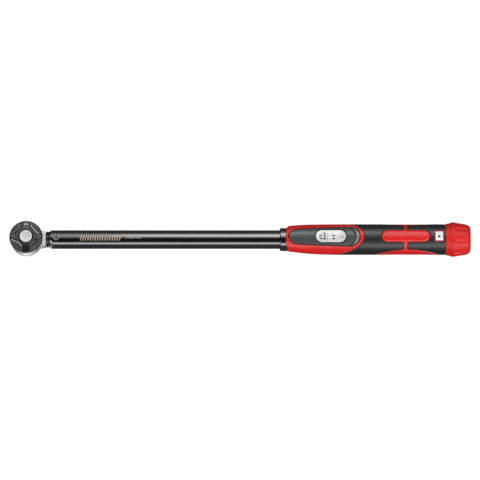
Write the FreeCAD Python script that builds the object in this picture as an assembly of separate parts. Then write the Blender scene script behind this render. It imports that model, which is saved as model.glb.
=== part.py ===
import FreeCAD, Part
import math
import os
from FreeCAD import Vector

# A click-type torque wrench with a half-inch square drive.
#
# Every piece is made with the tube's axis on the X axis and the drive's axis on the Z axis.
# save() then lifts it by AXIS_HEIGHT, so the square drive's end face is at Z = 0.
# Lengths are in millimetres. An "angle" is in degrees.

# ---- whole wrench ----
AXIS_HEIGHT = 25.0          # from the square's end face up to the tube's axis
RUN = 0.08                  # radial clearance of a running fit
GAP = 0.3                   # clearance between pieces that move apart

# ---- ratchet head ----
HEAD_R = 17.2
HEAD_BOTTOM = -12.0
HEAD_TOP = 9.2
HEAD_EDGE = 1.4             # fillet on the head's rims
NECK_HALF = 8.2
NECK_HEIGHT = 8.0
NECK_END = 22.3
NECK_FILLET = 8.0           # radius of the concave flare from the head into the neck
CAVITY_R = 13.3
CAVITY_FLOOR = -8.5
COVER_SEAT_R = 13.6
COVER_BOTTOM = 2.2
COVER_TOP = 7.4
SNAP_GROOVE_R = 14.1
SNAP_THICK = 0.8
SNAP_INNER_R = 12.9

# ---- square drive and its release ----
SQUARE = 12.7               # half-inch drive
SQUARE_CHAMFER = 0.9
DRIVE_NECK_R = 9.4
DRIVE_NECK_BOTTOM = -12.2
GEAR_TEETH = 72
GEAR_TIP_R = 13.2
GEAR_ROOT_R = 12.6
GEAR_BOTTOM = -8.3
GEAR_TOP = 2.0
HUB_R = 8.5
HUB_TOP = 11.0
SPIGOT_R = 7.8              # of the bezel, where it screws into the hub
SPIGOT_BOTTOM = 9.4
BEZEL_TOP = 14.6
BUTTON_R = 7.0
BUTTON_BOTTOM = 13.3
BUTTON_TOP = 16.5
ROD_R = 3.0
ROD_BOTTOM = -20.5
ROD_WAIST_R = 1.9
SPRING_POCKET_R = 4.4
SPRING_POCKET_FLOOR = 1.0
RELEASE_TRAVEL = 2.5
BALL_R = 2.0
BALL_Z = -18.5
BALL_PROUD = 0.75           # how far the ball stands out of the square's side

# ---- selector and pawl ----
SELECTOR_R = 19.4
SELECTOR_BOTTOM = 9.5
SELECTOR_TOP = 15.5
SELECTOR_FLOOR = 12.9       # floor of the four finger scallops
KNURL_TEETH = 50
KNURL_DEPTH = 0.5
SCALLOP_R = 13.9
SCALLOP_CENTRE = 24.2
SELECTOR_SWING = 36.0
CLIP_Z = 11.4
CLIP_THICK = 0.8
CLIP_INNER_R = 8.15
CLIP_OUTER_R = 9.05
PEG_ORBIT = 17.7
PEG_R = 0.9
PEG_BOTTOM = -6.0
PEG_TOP = 11.9
PAWL_SWING = 7.2
PAWL_PIVOT = 15.1
PAWL_PIN_R = 0.9
PAWL_INNER_R = 13.3
PAWL_OUTER_R = 16.5
PAWL_HALF = 5.4
PAWL_CLEAR = 0.1            # from the gear and from the peg
DETENT_ORBIT = 15.75
DETENT_R = 0.9
DETENT_Z = 8.7

# ---- lever arm and its pivot ----
PIVOT_X = 34.7
PIVOT_R = 3.35
PIVOT_BUSH_R = 4.3
ARM_ROUND_R = 7.2
ARM_SHOULDER = 32.2
ARM_START = (6.2, 6.0)      # half width and half height at the shoulder
ARM_TIP = (4.6, 4.2)        # half width and half height at the rear end
ARM_END = 118.0

# ---- tube ----
TUBE_R = 10.7
TUBE_BORE_R = 8.9
TUBE_FRONT = 27.2
TUBE_REAR = 306.0
NOSE_LENGTH = 2.2           # of the long chamfer at the tube's front end
NOSE_DROP = 1.0
SEAL_FRONT = 22.8
SEAL_R = 9.3
SEAL_BORE_R = 7.85
SEAL_REAR = 31.5

# ---- click mechanism ----
BLOCK_FRONT = 118.2
BLOCK_LENGTH = 8.0
BLOCK_HALF_WIDTH = 3.5
BLOCK_HALF_HEIGHT = 4.0
PLUNGER_R = 8.82
PLUNGER_REAR = 150.0
RECESS_DEPTH = 1.5
RECESS_CLEAR = 0.8
WASHER_THICK = 1.5
SPRING_R = 7.0              # mean radius of the main spring
SPRING_WIRE_R = 1.6
SPRING_TURNS = 17

# ---- load nut, spindle and scales ----
NUT_FRONT = 286.0
NUT_REAR = 312.0
NUT_SPIGOT_R = 6.6
KEY_X = 287.6               # of the screw that keys the load nut against turning
KEY_R = 1.4
KEY_REACH = 0.8             # how far it stands into the bore
SPINDLE_R = 5.0
SPINDLE_FRONT = 262.0
SPINDLE_HEX_START = 484.0
SPINDLE_REAR = 504.0
HEX_FLATS = 8.0
FLANGE_X = 396.0
FLANGE_R = 9.8
FLANGE_THICK = 4.0
COARSE_R = 11.15
COARSE_WALL = 0.65
COARSE_FRONT = 331.0
COARSE_REAR = 381.0
DRUM_R = 11.75
DRUM_WALL = 0.42
DRUM_FRONT = 357.8
DRUM_WEB = 384.0
DRUM_REAR = 392.0
SET_SCREW_X = 388.0
SET_SCREW_R = 1.5
SET_SCREW_FLOOR = 4.2

# ---- thrust bearing ----
BEARING_BALL_R = 1.5
BEARING_BALLS = 14
BEARING_ORBIT = 8.3
RACE_THICK = 1.6
RACE_R = 10.8

# ---- handle ----
HANDLE_TUBE_R = 13.3
HANDLE_BORE_R = 11.9
COLLAR_FRONT = 291.3
HANDLE_TUBE_REAR = 476.0
GRIP_R = 17.6
GRIP_FRONT = 297.0
GRIP_REAR = 481.1
CORE_R = 15.8               # of the hard core under the soft overmould
PAD_DROP = 0.3              # how far the red pads lie below the overmould
FRONT_EDGE = (301.5, -0.2)  # X at the axis, and its change per millimetre of height
SEAM = (359.0, 1.63)        # the same for the seam between red shell and overmould
PANEL_THICK = 1.6
PANEL_DROP = 0.15
PANEL_FRONT = (311.0, 10.2)  # centre and radius of the panel's front end
PANEL_REAR = (371.5, 12.2)
WINDOW_X = (332.6, 367.1)
WINDOW_HALF = 7.5
FRAME_WIDTH = 1.3
LENS_THICK = 1.4
PILL_X = (407.4, 463.9)
PILL_HALF = 7.5
BAR_X = (433.0, 437.8)
STRIP_X = (400.4, 475.0)
STRIP_HALF = 9.6
LABEL_X = (468.7, 479.2)
LABEL_HALF = 6.3
LABEL_THICK = 0.35

# ---- knob ----
KNOB_FRONT = 481.4
KNOB_REAR = 510.6
KNOB_BORE_R = 16.0
KNOB_CAP_R = 13.0
KNOB_CAP_X = 508.2
FLUTES = 8
FLUTE_TURN = 20.0           # of the first flute, from +Y towards +Z
FLUTE_R = 3.4
FLUTE_ORBIT = 20.9
FLUTE_X = (495.6, 503.6)
HUB_FRONT = 486.0
HUB_REAR = 506.0
HUB_FLANGE = 4.0
HUB_WALL = 6.0
HUB_R_OUT = 9.0
HUB_BORE_R = 7.0
KNOB_SCREW_R = 2.0
KNOB_SPRING_R = 5.7
KNOB_SPRING_WIRE_R = 0.7
KNOB_SPRING_TURNS = 5
SPLINES = 24
LOCK_RING_R = 13.2
LOCK_TOOTH = 0.6
LOCK_REAR = 484.0


# ---------------------------------------------------------------- helpers
def bar_x(x0, x1, radius, bore=0.0):
    """A round bar or ring on the tube's axis."""
    bar = Part.makeCylinder(radius, x1 - x0, Vector(x0, 0, 0), Vector(1, 0, 0))
    if not bore:
        return bar
    return bar.cut(Part.makeCylinder(bore, x1 - x0 + 2, Vector(x0 - 1, 0, 0), Vector(1, 0, 0)))


def bar_z(z0, z1, radius, bore=0.0, x=0.0, y=0.0):
    """A round bar or ring that stands upright at x, y."""
    bar = Part.makeCylinder(radius, z1 - z0, Vector(x, y, z0))
    if not bore:
        return bar
    return bar.cut(Part.makeCylinder(bore, z1 - z0 + 2, Vector(x, y, z0 - 1)))


def block(x0, x1, y0, y1, z0, z1):
    return Part.makeBox(x1 - x0, y1 - y0, z1 - z0, Vector(x0, y0, z0))


def turned(profile):
    """A solid of revolution about X, from the (x, radius) corners of its outline."""
    points = [Vector(x, 0, radius) for x, radius in profile]
    wire = Part.makePolygon(points + points[:1])
    return Part.Face(wire).revolve(Vector(0, 0, 0), Vector(1, 0, 0), 360)


def prism_z(points, z0, z1):
    corners = [Vector(x, y, z0) for x, y in points]
    wire = Part.makePolygon(corners + corners[:1])
    return Part.Face(wire).extrude(Vector(0, 0, z1 - z0))


def polar(radius, angle):
    turn = math.radians(angle)
    return radius * math.cos(turn), radius * math.sin(turn)


def sector(inner, outer, first, last, z0, z1):
    """An upright ring segment between two angles."""
    ring = Part.makeCylinder(outer, z1 - z0, Vector(0, 0, z0), Vector(0, 0, 1), last - first)
    ring.rotate(Vector(0, 0, 0), Vector(0, 0, 1), first)
    return ring.cut(bar_z(z0 - 1, z1 + 1, inner))


def toothed(teeth, tip, root, tip_share, root_share, z0, z1):
    """An upright toothed bar, whose teeth take the given shares of the pitch."""
    pitch = 360.0 / teeth
    outline = []
    for tooth in range(teeth):
        middle = tooth * pitch
        outline.append(polar(root, middle - pitch * root_share / 2))
        outline.append(polar(tip, middle - pitch * tip_share / 2))
        outline.append(polar(tip, middle + pitch * tip_share / 2))
        outline.append(polar(root, middle + pitch * root_share / 2))
    return prism_z(outline, z0, z1)


def stood_on_x(shape, x):
    """Turns an upright shape so that its Z axis lies on the tube's axis, from x on."""
    laid = shape.copy()
    laid.rotate(Vector(0, 0, 0), Vector(0, 1, 0), 90)
    laid.translate(Vector(x, 0, 0))
    return laid


def slot_plate(x_range, half, z0, z1):
    """An upright plate with round ends, long in X and centred on Y = 0."""
    x0, x1 = x_range
    plate = block(x0 + half, x1 - half, -half, half, z0, z1)
    for x in (x0 + half, x1 - half):
        plate = plate.fuse(bar_z(z0, z1, half, x=x))
    return plate.removeSplitter()


def coil(radius, wire_r, height, turns):
    """A helical spring on the Z axis. Its wire's centre line rises from 0 to height."""
    path = Part.makeHelix(height / turns, height, radius)
    circle = Part.makeCircle(wire_r, Vector(radius, 0, 0), Vector(0, 1, 0))
    sweep = Part.BRepOffsetAPI.MakePipeShell(Part.Wire(path.Edges))
    sweep.setFrenetMode(True)
    sweep.add(Part.Wire(circle))
    sweep.build()
    sweep.makeSolid()
    return sweep.shape()


def cut_all(shape, tools):
    for tool in tools:
        shape = shape.cut(tool)
    return shape


def save(name, shape):
    solids = shape.Solids
    piece = solids[0] if len(solids) == 1 else Part.makeCompound(solids)
    piece = piece.copy()
    piece.translate(Vector(0, 0, AXIS_HEIGHT))
    if not piece.isValid():
        print("invalid shape:", name)
    print(f"{name}: {len(solids)} solid(s), {piece.Volume:.0f} mm3")
    piece.exportStep(os.path.join("parts", name + ".step"))


# ---------------------------------------------------------------- ratchet head
def neck_outline():
    """The flared neck's outline, with its flares as true arcs tangent to the head."""
    reach = HEAD_R + NECK_FILLET
    centre_y = NECK_HALF + NECK_FILLET
    centre_x = math.sqrt(reach ** 2 - centre_y ** 2)
    share = HEAD_R / reach
    edges = []
    starts = []
    for side in (1, -1):
        centre = Vector(centre_x, side * centre_y, 0)
        on_head = Vector(centre_x * share, side * centre_y * share, 0)
        on_neck = Vector(centre_x, side * NECK_HALF, 0)
        middle = (on_head + on_neck) * 0.5 - centre
        middle.normalize()
        edges.append(Part.Arc(on_head, centre + middle * NECK_FILLET, on_neck).toShape())
        edges.append(Part.makeLine(on_neck, Vector(NECK_END, side * NECK_HALF, 0)))
        starts.append(on_head)
    edges.append(Part.makeLine(Vector(NECK_END, NECK_HALF, 0), Vector(NECK_END, -NECK_HALF, 0)))
    edges.append(Part.makeLine(starts[0], starts[1]))
    return Part.Wire(Part.__sortEdges__(edges))


def lever_arm():
    rings = []
    for x, half in ((ARM_SHOULDER, ARM_START), (ARM_END, ARM_TIP)):
        width, height = half
        corners = [(width, height), (-width, height), (-width, -height), (width, -height)]
        points = [Vector(x, y, z) for y, z in corners]
        rings.append(Part.makePolygon(points + points[:1]))
    arm = Part.makeLoft(rings, True)
    long_edges = [edge for edge in arm.Edges if abs(edge.BoundBox.XLength) > 1]
    arm = arm.makeChamfer(1.0, long_edges)
    arm = arm.fuse(bar_x(NECK_END - 2, ARM_SHOULDER + 0.01, ARM_ROUND_R))
    return arm.cut(bar_z(-10, 10, PIVOT_BUSH_R, x=PIVOT_X))


def peg_angle(share):
    """Where the shift peg stands when the selector has made this share of its swing."""
    return SELECTOR_SWING * (share - 0.5)


def pawl_pocket():
    reach = PEG_ORBIT + PEG_R + 0.25
    edge = SELECTOR_SWING / 2 + 3.8
    room = block(11, 16.9, -PAWL_HALF - 0.6, PAWL_HALF + 0.6, CAVITY_FLOOR, COVER_BOTTOM)
    room = room.fuse(sector(CAVITY_R - 0.3, reach, -edge, edge, CAVITY_FLOOR, COVER_BOTTOM))
    slot = sector(PEG_ORBIT - PEG_R - 0.25, reach, -edge, edge, COVER_BOTTOM - 1, HEAD_TOP + 1)
    return room.fuse(slot)


def make_ratchet_head():
    head = bar_z(HEAD_BOTTOM, HEAD_TOP, HEAD_R)
    head = head.makeFillet(HEAD_EDGE, [e for e in head.Edges if e.Curve.TypeId == "Part::GeomCircle"])
    neck = Part.Face(neck_outline()).extrude(Vector(0, 0, 2 * NECK_HEIGHT))
    neck.translate(Vector(0, 0, -NECK_HEIGHT))
    head = head.fuse(neck).removeSplitter().fuse(lever_arm())
    detent_x = -DETENT_ORBIT
    tools = [
        bar_z(CAVITY_FLOOR, HEAD_TOP + 1, CAVITY_R),
        bar_z(COVER_BOTTOM, HEAD_TOP + 1, COVER_SEAT_R),
        bar_z(COVER_TOP, COVER_TOP + SNAP_THICK + 0.1, SNAP_GROOVE_R),
        bar_z(HEAD_BOTTOM - 1, CAVITY_FLOOR + 1, DRIVE_NECK_R + RUN),
        pawl_pocket(),
        bar_z(CAVITY_FLOOR - 2, HEAD_TOP + 1, PAWL_PIN_R, x=PAWL_PIVOT),
        bar_z(2.5, HEAD_TOP + 1, DETENT_R + 0.03, x=detent_x),
    ]
    save("ratchet_head", cut_all(head, tools))


def make_head_fittings():
    cover = bar_z(COVER_BOTTOM, COVER_TOP, COVER_SEAT_R - 0.05, bore=HUB_R + RUN)
    save("cover_plate", cover)
    snap = bar_z(COVER_TOP + 0.05, COVER_TOP + 0.05 + SNAP_THICK, SNAP_GROOVE_R - 0.05, bore=SNAP_INNER_R)
    opening = sector(1, SNAP_GROOVE_R + 2, 170, 190, COVER_TOP - 1, HEAD_TOP)
    save("cover_snap_ring", snap.cut(opening))
    save("pawl_pin", bar_z(CAVITY_FLOOR - 2, COVER_TOP - 0.4, PAWL_PIN_R - 0.01, x=PAWL_PIVOT))
    ball = Part.makeSphere(DETENT_R, Vector(-DETENT_ORBIT, 0, DETENT_Z))
    save("selector_detent_ball", ball)
    spring = coil(0.62, 0.18, 4.4, 7)
    spring.translate(Vector(-DETENT_ORBIT, 0, 2.8))
    save("selector_detent_spring", spring)
    half = ARM_START[1] - 0.25
    bush = bar_z(-half, half, PIVOT_BUSH_R, bore=PIVOT_R + RUN, x=PIVOT_X)
    save("pivot_bush", bush)


def gear_blank(grow, z0, z1):
    """The ratchet gear's teeth, grown all round by a clearance."""
    pitch_mm = 2 * math.pi * GEAR_TIP_R / GEAR_TEETH
    wider = 2 * grow / pitch_mm
    return toothed(GEAR_TEETH, GEAR_TIP_R + grow, GEAR_ROOT_R + grow, 0.16 + wider, 0.72 + wider, z0, z1)


def make_drive():
    half = SQUARE / 2
    square = block(-half, half, -half, half, -AXIS_HEIGHT, DRIVE_NECK_BOTTOM + 0.5)
    upright = [e for e in square.Edges if abs(e.BoundBox.ZLength) > 1]
    square = square.makeChamfer(SQUARE_CHAMFER, upright)
    tip = [e for e in square.Edges if e.BoundBox.ZMax < -AXIS_HEIGHT + 0.1]
    square = square.makeChamfer(0.6, tip)
    drive = gear_blank(0.0, GEAR_BOTTOM, GEAR_TOP)
    drive = drive.fuse(bar_z(DRIVE_NECK_BOTTOM, GEAR_BOTTOM + 1, DRIVE_NECK_R))
    drive = drive.fuse(square).fuse(bar_z(GEAR_TOP - 1, HUB_TOP, HUB_R))
    ball_hole = Part.makeCylinder(BALL_R + RUN, SQUARE, Vector(0, 0, BALL_Z), Vector(0, -1, 0))
    tools = [
        bar_z(ROD_BOTTOM - RELEASE_TRAVEL - GAP, HUB_TOP + 1, ROD_R + RUN),
        bar_z(SPRING_POCKET_FLOOR, HUB_TOP + 1, SPRING_POCKET_R),
        bar_z(SPIGOT_BOTTOM, HUB_TOP + 1, SPIGOT_R),
        ball_hole,
    ]
    save("square_drive_gear", cut_all(drive, tools))
    bezel = bar_z(SPIGOT_BOTTOM, HUB_TOP, SPIGOT_R, bore=BUTTON_R + RUN)
    bezel = bezel.fuse(bar_z(HUB_TOP, BEZEL_TOP, HUB_R, bore=BUTTON_R + RUN)).removeSplitter()
    groove = bar_z(CLIP_Z - 0.1, CLIP_Z + CLIP_THICK + 0.1, HUB_R + 1, bore=CLIP_INNER_R - 0.1)
    save("button_bezel", bezel.cut(groove))


def make_release():
    button = bar_z(BUTTON_BOTTOM, BUTTON_TOP, BUTTON_R)
    top = [e for e in button.Edges if e.BoundBox.ZMin > BUTTON_TOP - 0.1]
    button = button.makeFillet(0.7, top)
    button = button.cut(bar_z(BUTTON_TOP - 0.25, BUTTON_TOP + 1, BUTTON_R - 1.3))
    button = button.cut(bar_z(BUTTON_BOTTOM - 1, BUTTON_BOTTOM + 1.2, ROD_R))
    save("release_button", button)
    ramp = 1.2
    waist = BALL_Z + RELEASE_TRAVEL
    profile = [
        (0, ROD_BOTTOM),
        (ROD_R, ROD_BOTTOM),
        (ROD_R, waist - 3.0),
        (ROD_WAIST_R, waist - 3.0 + ramp),
        (ROD_WAIST_R, waist + 2.2),
        (ROD_R, waist + 2.2 + ramp),
        (ROD_R, SPRING_POCKET_FLOOR - 0.4),
        (2.4, SPRING_POCKET_FLOOR - 0.4),
        (2.4, BUTTON_BOTTOM),
        (ROD_R, BUTTON_BOTTOM),
        (ROD_R, BUTTON_BOTTOM + 1.2),
        (0, BUTTON_BOTTOM + 1.2),
    ]
    points = [Vector(radius, 0, z) for radius, z in profile]
    rod = Part.Face(Part.makePolygon(points + points[:1]))
    save("release_rod", rod.revolve(Vector(0, 0, 0), Vector(0, 0, 1), 360))
    spring = coil(3.4, 0.4, BUTTON_BOTTOM - SPRING_POCKET_FLOOR - 1.2, 8)
    spring.translate(Vector(0, 0, SPRING_POCKET_FLOOR + 0.6))
    save("release_spring", spring)
    centre = SQUARE / 2 + BALL_PROUD - BALL_R
    save("socket_ball", Part.makeSphere(BALL_R, Vector(0, -centre, BALL_Z)))


# ---------------------------------------------------------------- selector and pawl
def make_selector():
    inner = SELECTOR_R - KNURL_DEPTH
    disc = toothed(KNURL_TEETH, SELECTOR_R, inner, 0.35, 0.7, SELECTOR_BOTTOM, SELECTOR_FLOOR)
    star = bar_z(SELECTOR_FLOOR, SELECTOR_TOP, inner)
    for quarter in range(4):
        x, y = polar(SCALLOP_CENTRE, 45 + 90 * quarter)
        star = star.cut(bar_z(SELECTOR_FLOOR - 1, SELECTOR_TOP + 1, SCALLOP_R, x=x, y=y))
    rim = [e for e in star.Edges if e.BoundBox.ZMin > SELECTOR_TOP - 0.1]
    star = star.makeChamfer(0.5, rim)
    disc = disc.fuse(star)
    top_cut = bar_z(SELECTOR_TOP - 0.6, SELECTOR_TOP + 1, HUB_R + 0.9)
    near = DETENT_ORBIT - DETENT_R
    far = DETENT_ORBIT + DETENT_R
    groove_top = SELECTOR_BOTTOM + 0.35
    tools = [
        bar_z(SELECTOR_BOTTOM - 1, SELECTOR_TOP + 1, HUB_R + RUN),
        bar_z(CLIP_Z, CLIP_Z + CLIP_THICK, CLIP_OUTER_R),
        top_cut,
        sector(near, far, 176 - SELECTOR_SWING, 184, SELECTOR_BOTTOM - 1, groove_top),
    ]
    for angle in (180, 180 - SELECTOR_SWING):
        x, y = polar(DETENT_ORBIT, angle)
        tools.append(Part.makeSphere(DETENT_R + 0.2, Vector(x, y, DETENT_Z)))
    x, y = polar(PEG_ORBIT, peg_angle(0))
    peg = bar_z(PEG_BOTTOM, PEG_TOP, PEG_R, x=x, y=y)
    tools.append(peg)
    save("selector_disc", cut_all(disc, tools))
    save("shift_peg", peg)
    clip = bar_z(CLIP_Z, CLIP_Z + CLIP_THICK, CLIP_OUTER_R, bore=CLIP_INNER_R)
    opening = sector(1, CLIP_OUTER_R + 2, 80, 100, CLIP_Z - 1, CLIP_Z + CLIP_THICK + 1)
    save("selector_circlip", clip.cut(opening))


def make_pawl():
    """The pawl is cut clear of the gear and of the shift peg all through its swing."""
    bottom = GEAR_BOTTOM
    top = GEAR_TOP - 0.2
    pawl = bar_z(bottom, top, PAWL_OUTER_R).cut(bar_z(bottom - 1, top + 1, PAWL_INNER_R - 0.5))
    pawl = pawl.common(block(0, PAWL_OUTER_R + 1, -PAWL_HALF, PAWL_HALF, bottom, top))
    pivot = Vector(PAWL_PIVOT, 0, 0)
    upright = Vector(0, 0, 1)
    steps = 12
    for step in range(steps + 1):
        share = step / steps
        tilt = PAWL_SWING * (share - 0.5)
        x, y = polar(PEG_ORBIT, peg_angle(share))
        gear = gear_blank(PAWL_CLEAR, bottom - 1, top + 1)
        peg = bar_z(bottom - 1, top + 1, PEG_R + PAWL_CLEAR, x=x, y=y)
        for tool in (gear, peg):
            tool.rotate(pivot, upright, -tilt)
            pawl = pawl.cut(tool)
    pawl = pawl.cut(bar_z(bottom - 1, top + 1, PAWL_PIN_R + RUN, x=PAWL_PIVOT))
    biggest = max(pawl.Solids, key=lambda solid: solid.Volume)
    biggest.rotate(pivot, upright, -PAWL_SWING / 2)
    save("pawl", biggest)


# ---------------------------------------------------------------- tube and click mechanism
def make_tube():
    tube = turned([
        (TUBE_FRONT, TUBE_BORE_R),
        (TUBE_FRONT, TUBE_R - NOSE_DROP),
        (TUBE_FRONT + NOSE_LENGTH, TUBE_R),
        (TUBE_REAR, TUBE_R),
        (TUBE_REAR, TUBE_BORE_R),
    ])
    pin = bar_z(-TUBE_R - 1, TUBE_R + 1, PIVOT_R, x=PIVOT_X)
    key = bar_z(-TUBE_R - 1, -TUBE_BORE_R + 1, KEY_R, x=KEY_X)
    save("main_tube", tube.cut(pin).cut(key))
    pin = bar_z(-TUBE_R, TUBE_R, PIVOT_R, x=PIVOT_X).common(bar_x(0, 60, TUBE_R - 0.05))
    for side in (1, -1):
        dish = Part.makeCone(0.9, 2.3, 1.0, Vector(PIVOT_X, 0, side * (TUBE_R - 1.0)), Vector(0, 0, side))
        pin = pin.cut(dish)
    save("pivot_pin", pin)
    seal = turned([
        (SEAL_FRONT, SEAL_BORE_R),
        (SEAL_FRONT, SEAL_R - 0.9),
        (SEAL_FRONT + 1.0, SEAL_R),
        (TUBE_FRONT, SEAL_R),
        (TUBE_FRONT, TUBE_BORE_R),
        (SEAL_REAR, TUBE_BORE_R),
        (SEAL_REAR, SEAL_BORE_R),
    ])
    pin_room = bar_z(-TUBE_R, TUBE_R, PIVOT_R + 0.1, x=PIVOT_X)
    save("front_seal", seal.cut(pin_room))
    save("nut_key_screw", bar_z(-TUBE_R + 0.2, -TUBE_BORE_R + KEY_REACH, KEY_R, x=KEY_X))


def make_click_mechanism():
    block_rear = BLOCK_FRONT + BLOCK_LENGTH
    wide = BLOCK_HALF_WIDTH
    high = BLOCK_HALF_HEIGHT
    save("tilting_block", block(BLOCK_FRONT, block_rear, -wide, wide, -high, high))
    recess_floor = block_rear + 0.2
    front = recess_floor - RECESS_DEPTH
    half_y = wide + RECESS_CLEAR
    half_z = high + GAP
    plunger = turned([
        (front, 0),
        (front, PLUNGER_R - 0.6),
        (front + 0.6, PLUNGER_R),
        (front + 10, PLUNGER_R),
        (front + 10.5, PLUNGER_R - 0.6),
        (front + 13.5, PLUNGER_R - 0.6),
        (front + 14, PLUNGER_R),
        (PLUNGER_REAR, PLUNGER_R),
        (PLUNGER_REAR, SPINDLE_R - 0.2),
        (PLUNGER_REAR + 8, SPINDLE_R - 0.2),
        (PLUNGER_REAR + 9, SPINDLE_R - 1.2),
        (PLUNGER_REAR + 9, 0),
    ])
    save("plunger", plunger.cut(block(front - 1, recess_floor, -half_y, half_y, -half_z, half_z)))
    bore = SPRING_R - SPRING_WIRE_R
    washer_r = PLUNGER_R - 0.1
    front_seat = PLUNGER_REAR + WASHER_THICK
    rear_seat = NUT_FRONT - WASHER_THICK
    save("front_spring_washer", bar_x(PLUNGER_REAR, front_seat, washer_r, bore=bore))
    save("rear_spring_washer", bar_x(rear_seat, NUT_FRONT, washer_r, bore=bore))
    start = front_seat + SPRING_WIRE_R + 0.1
    end = rear_seat - SPRING_WIRE_R - 0.1
    save("main_spring", stood_on_x(coil(SPRING_R, SPRING_WIRE_R, end - start, SPRING_TURNS), start))


# ---------------------------------------------------------------- adjustment
def make_load_nut():
    nut = bar_x(NUT_FRONT, NUT_REAR, PLUNGER_R)
    nut = nut.fuse(bar_x(NUT_REAR, NUT_REAR + 6, NUT_SPIGOT_R)).removeSplitter()
    nut = nut.cut(bar_x(NUT_FRONT - 1, NUT_REAR + 7, SPINDLE_R + RUN))
    half = KEY_R + 0.1
    floor = -TUBE_BORE_R + KEY_REACH + GAP
    keyway = block(NUT_FRONT - 1, NUT_REAR + 1, -half, half, -PLUNGER_R - 1, floor)
    save("load_nut", nut.cut(keyway))
    inner = COARSE_R - COARSE_WALL
    sleeve = turned([
        (NUT_REAR, NUT_SPIGOT_R),
        (NUT_REAR, NUT_SPIGOT_R + 1.4),
        (COARSE_FRONT, NUT_SPIGOT_R + 1.4),
        (COARSE_FRONT, COARSE_R),
        (COARSE_REAR, COARSE_R),
        (COARSE_REAR, inner),
        (COARSE_FRONT + 3, inner),
        (COARSE_FRONT + 3, SPINDLE_R + 0.6),
        (NUT_REAR + 6, SPINDLE_R + 0.6),
        (NUT_REAR + 6, NUT_SPIGOT_R),
    ])
    save("coarse_scale_sleeve", sleeve)


def make_spindle():
    spindle = bar_x(SPINDLE_FRONT, SPINDLE_HEX_START, SPINDLE_R)
    nose = [e for e in spindle.Edges if e.BoundBox.XMax < SPINDLE_FRONT + 0.1]
    spindle = spindle.makeChamfer(0.8, nose)
    spindle = spindle.fuse(bar_x(FLANGE_X, FLANGE_X + FLANGE_THICK, FLANGE_R))
    corner = HEX_FLATS / math.sqrt(3)
    outline = [polar(corner, 60 * side) for side in range(6)]
    shank = prism_z(outline, 0, SPINDLE_REAR - SPINDLE_HEX_START + 1)
    spindle = spindle.fuse(stood_on_x(shank, SPINDLE_HEX_START - 1))
    spindle = spindle.cut(bar_x(SPINDLE_REAR - 11, SPINDLE_REAR + 1, KNOB_SCREW_R))
    save("adjusting_spindle", spindle.cut(set_screw_hole(2.0)))


def set_screw_hole(length):
    return Part.makeCylinder(SET_SCREW_R, length, Vector(SET_SCREW_X, 0, SET_SCREW_FLOOR))


def make_units_drum():
    drum = turned([
        (DRUM_FRONT, DRUM_R - DRUM_WALL),
        (DRUM_FRONT, DRUM_R),
        (DRUM_REAR, DRUM_R),
        (DRUM_REAR, SPINDLE_R),
        (DRUM_WEB, SPINDLE_R),
        (DRUM_WEB, DRUM_R - DRUM_WALL),
    ])
    save("units_drum", drum.cut(set_screw_hole(DRUM_R)))
    socket = Part.makeCylinder(SET_SCREW_R / 2, 2.0, Vector(SET_SCREW_X, 0, SET_SCREW_FLOOR + 3.5))
    save("drum_set_screw", set_screw_hole(5.0).cut(socket))


def bearing_stack():
    """X of the front race, the balls' centres, the rear race and the plug behind them."""
    front = FLANGE_X + FLANGE_THICK
    centre = front + RACE_THICK + 0.1 + BEARING_BALL_R
    rear = centre + BEARING_BALL_R + 0.1
    return front, centre, rear, rear + RACE_THICK


def make_thrust_bearing():
    front, centre, rear, plug = bearing_stack()
    save("thrust_race_front", bar_x(front, front + RACE_THICK, RACE_R, bore=SPINDLE_R))
    save("thrust_race_rear", bar_x(rear, rear + RACE_THICK, RACE_R, bore=SPINDLE_R + RUN))
    cage = bar_x(centre - 0.7, centre + 0.7, RACE_R - 0.2, bore=SPINDLE_R + 1.0)
    rearward = Vector(1, 0, 0)
    balls = []
    for number in range(BEARING_BALLS):
        y, z = polar(BEARING_ORBIT, 360.0 / BEARING_BALLS * number)
        seat = Part.makeCylinder(BEARING_BALL_R + 0.05, 4, Vector(centre - 2, y, z), rearward)
        cage = cage.cut(seat)
        balls.append(Part.makeSphere(BEARING_BALL_R, Vector(centre, y, z)))
    save("thrust_ball_cage", cage)
    save("thrust_balls", Part.makeCompound(balls))
    end = plug + 11.0
    body = bar_x(plug, end, HANDLE_BORE_R, bore=SPINDLE_R + RUN)
    wide = HANDLE_BORE_R
    save("bearing_plug", body.cut(block(end - 3, end + 1, -wide, wide, -1.6, 1.6)))


def make_rear_bearing():
    bush_r = 7.5
    plug = bar_x(HANDLE_TUBE_REAR - 8, HANDLE_TUBE_REAR, HANDLE_BORE_R)
    root = LOCK_RING_R - LOCK_TOOTH
    teeth = toothed(SPLINES, LOCK_RING_R, root, 0.3, 0.6, 0, LOCK_REAR - HANDLE_TUBE_REAR)
    plug = plug.fuse(stood_on_x(teeth, HANDLE_TUBE_REAR))
    save("lock_ring", plug.cut(bar_x(HANDLE_TUBE_REAR - 9, LOCK_REAR + 1, bush_r)))
    bush = bar_x(HANDLE_TUBE_REAR - 10, LOCK_REAR - 1, bush_r, bore=SPINDLE_R + RUN)
    save("rear_bush", bush)


# ---------------------------------------------------------------- handle
def grip_profile(drop):
    """Half outline of the whole grip, its surface lowered by drop."""
    outer = [
        (GRIP_FRONT, 15.2),
        (301.0, 15.8),
        (308.0, 16.6),
        (322.0, 17.2),
        (338.0, GRIP_R),
        (GRIP_REAR, GRIP_R),
    ]
    lowered = [(x, radius - drop) for x, radius in outer]
    return turned([(GRIP_FRONT, 0)] + lowered + [(GRIP_REAR, 0)])


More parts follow.
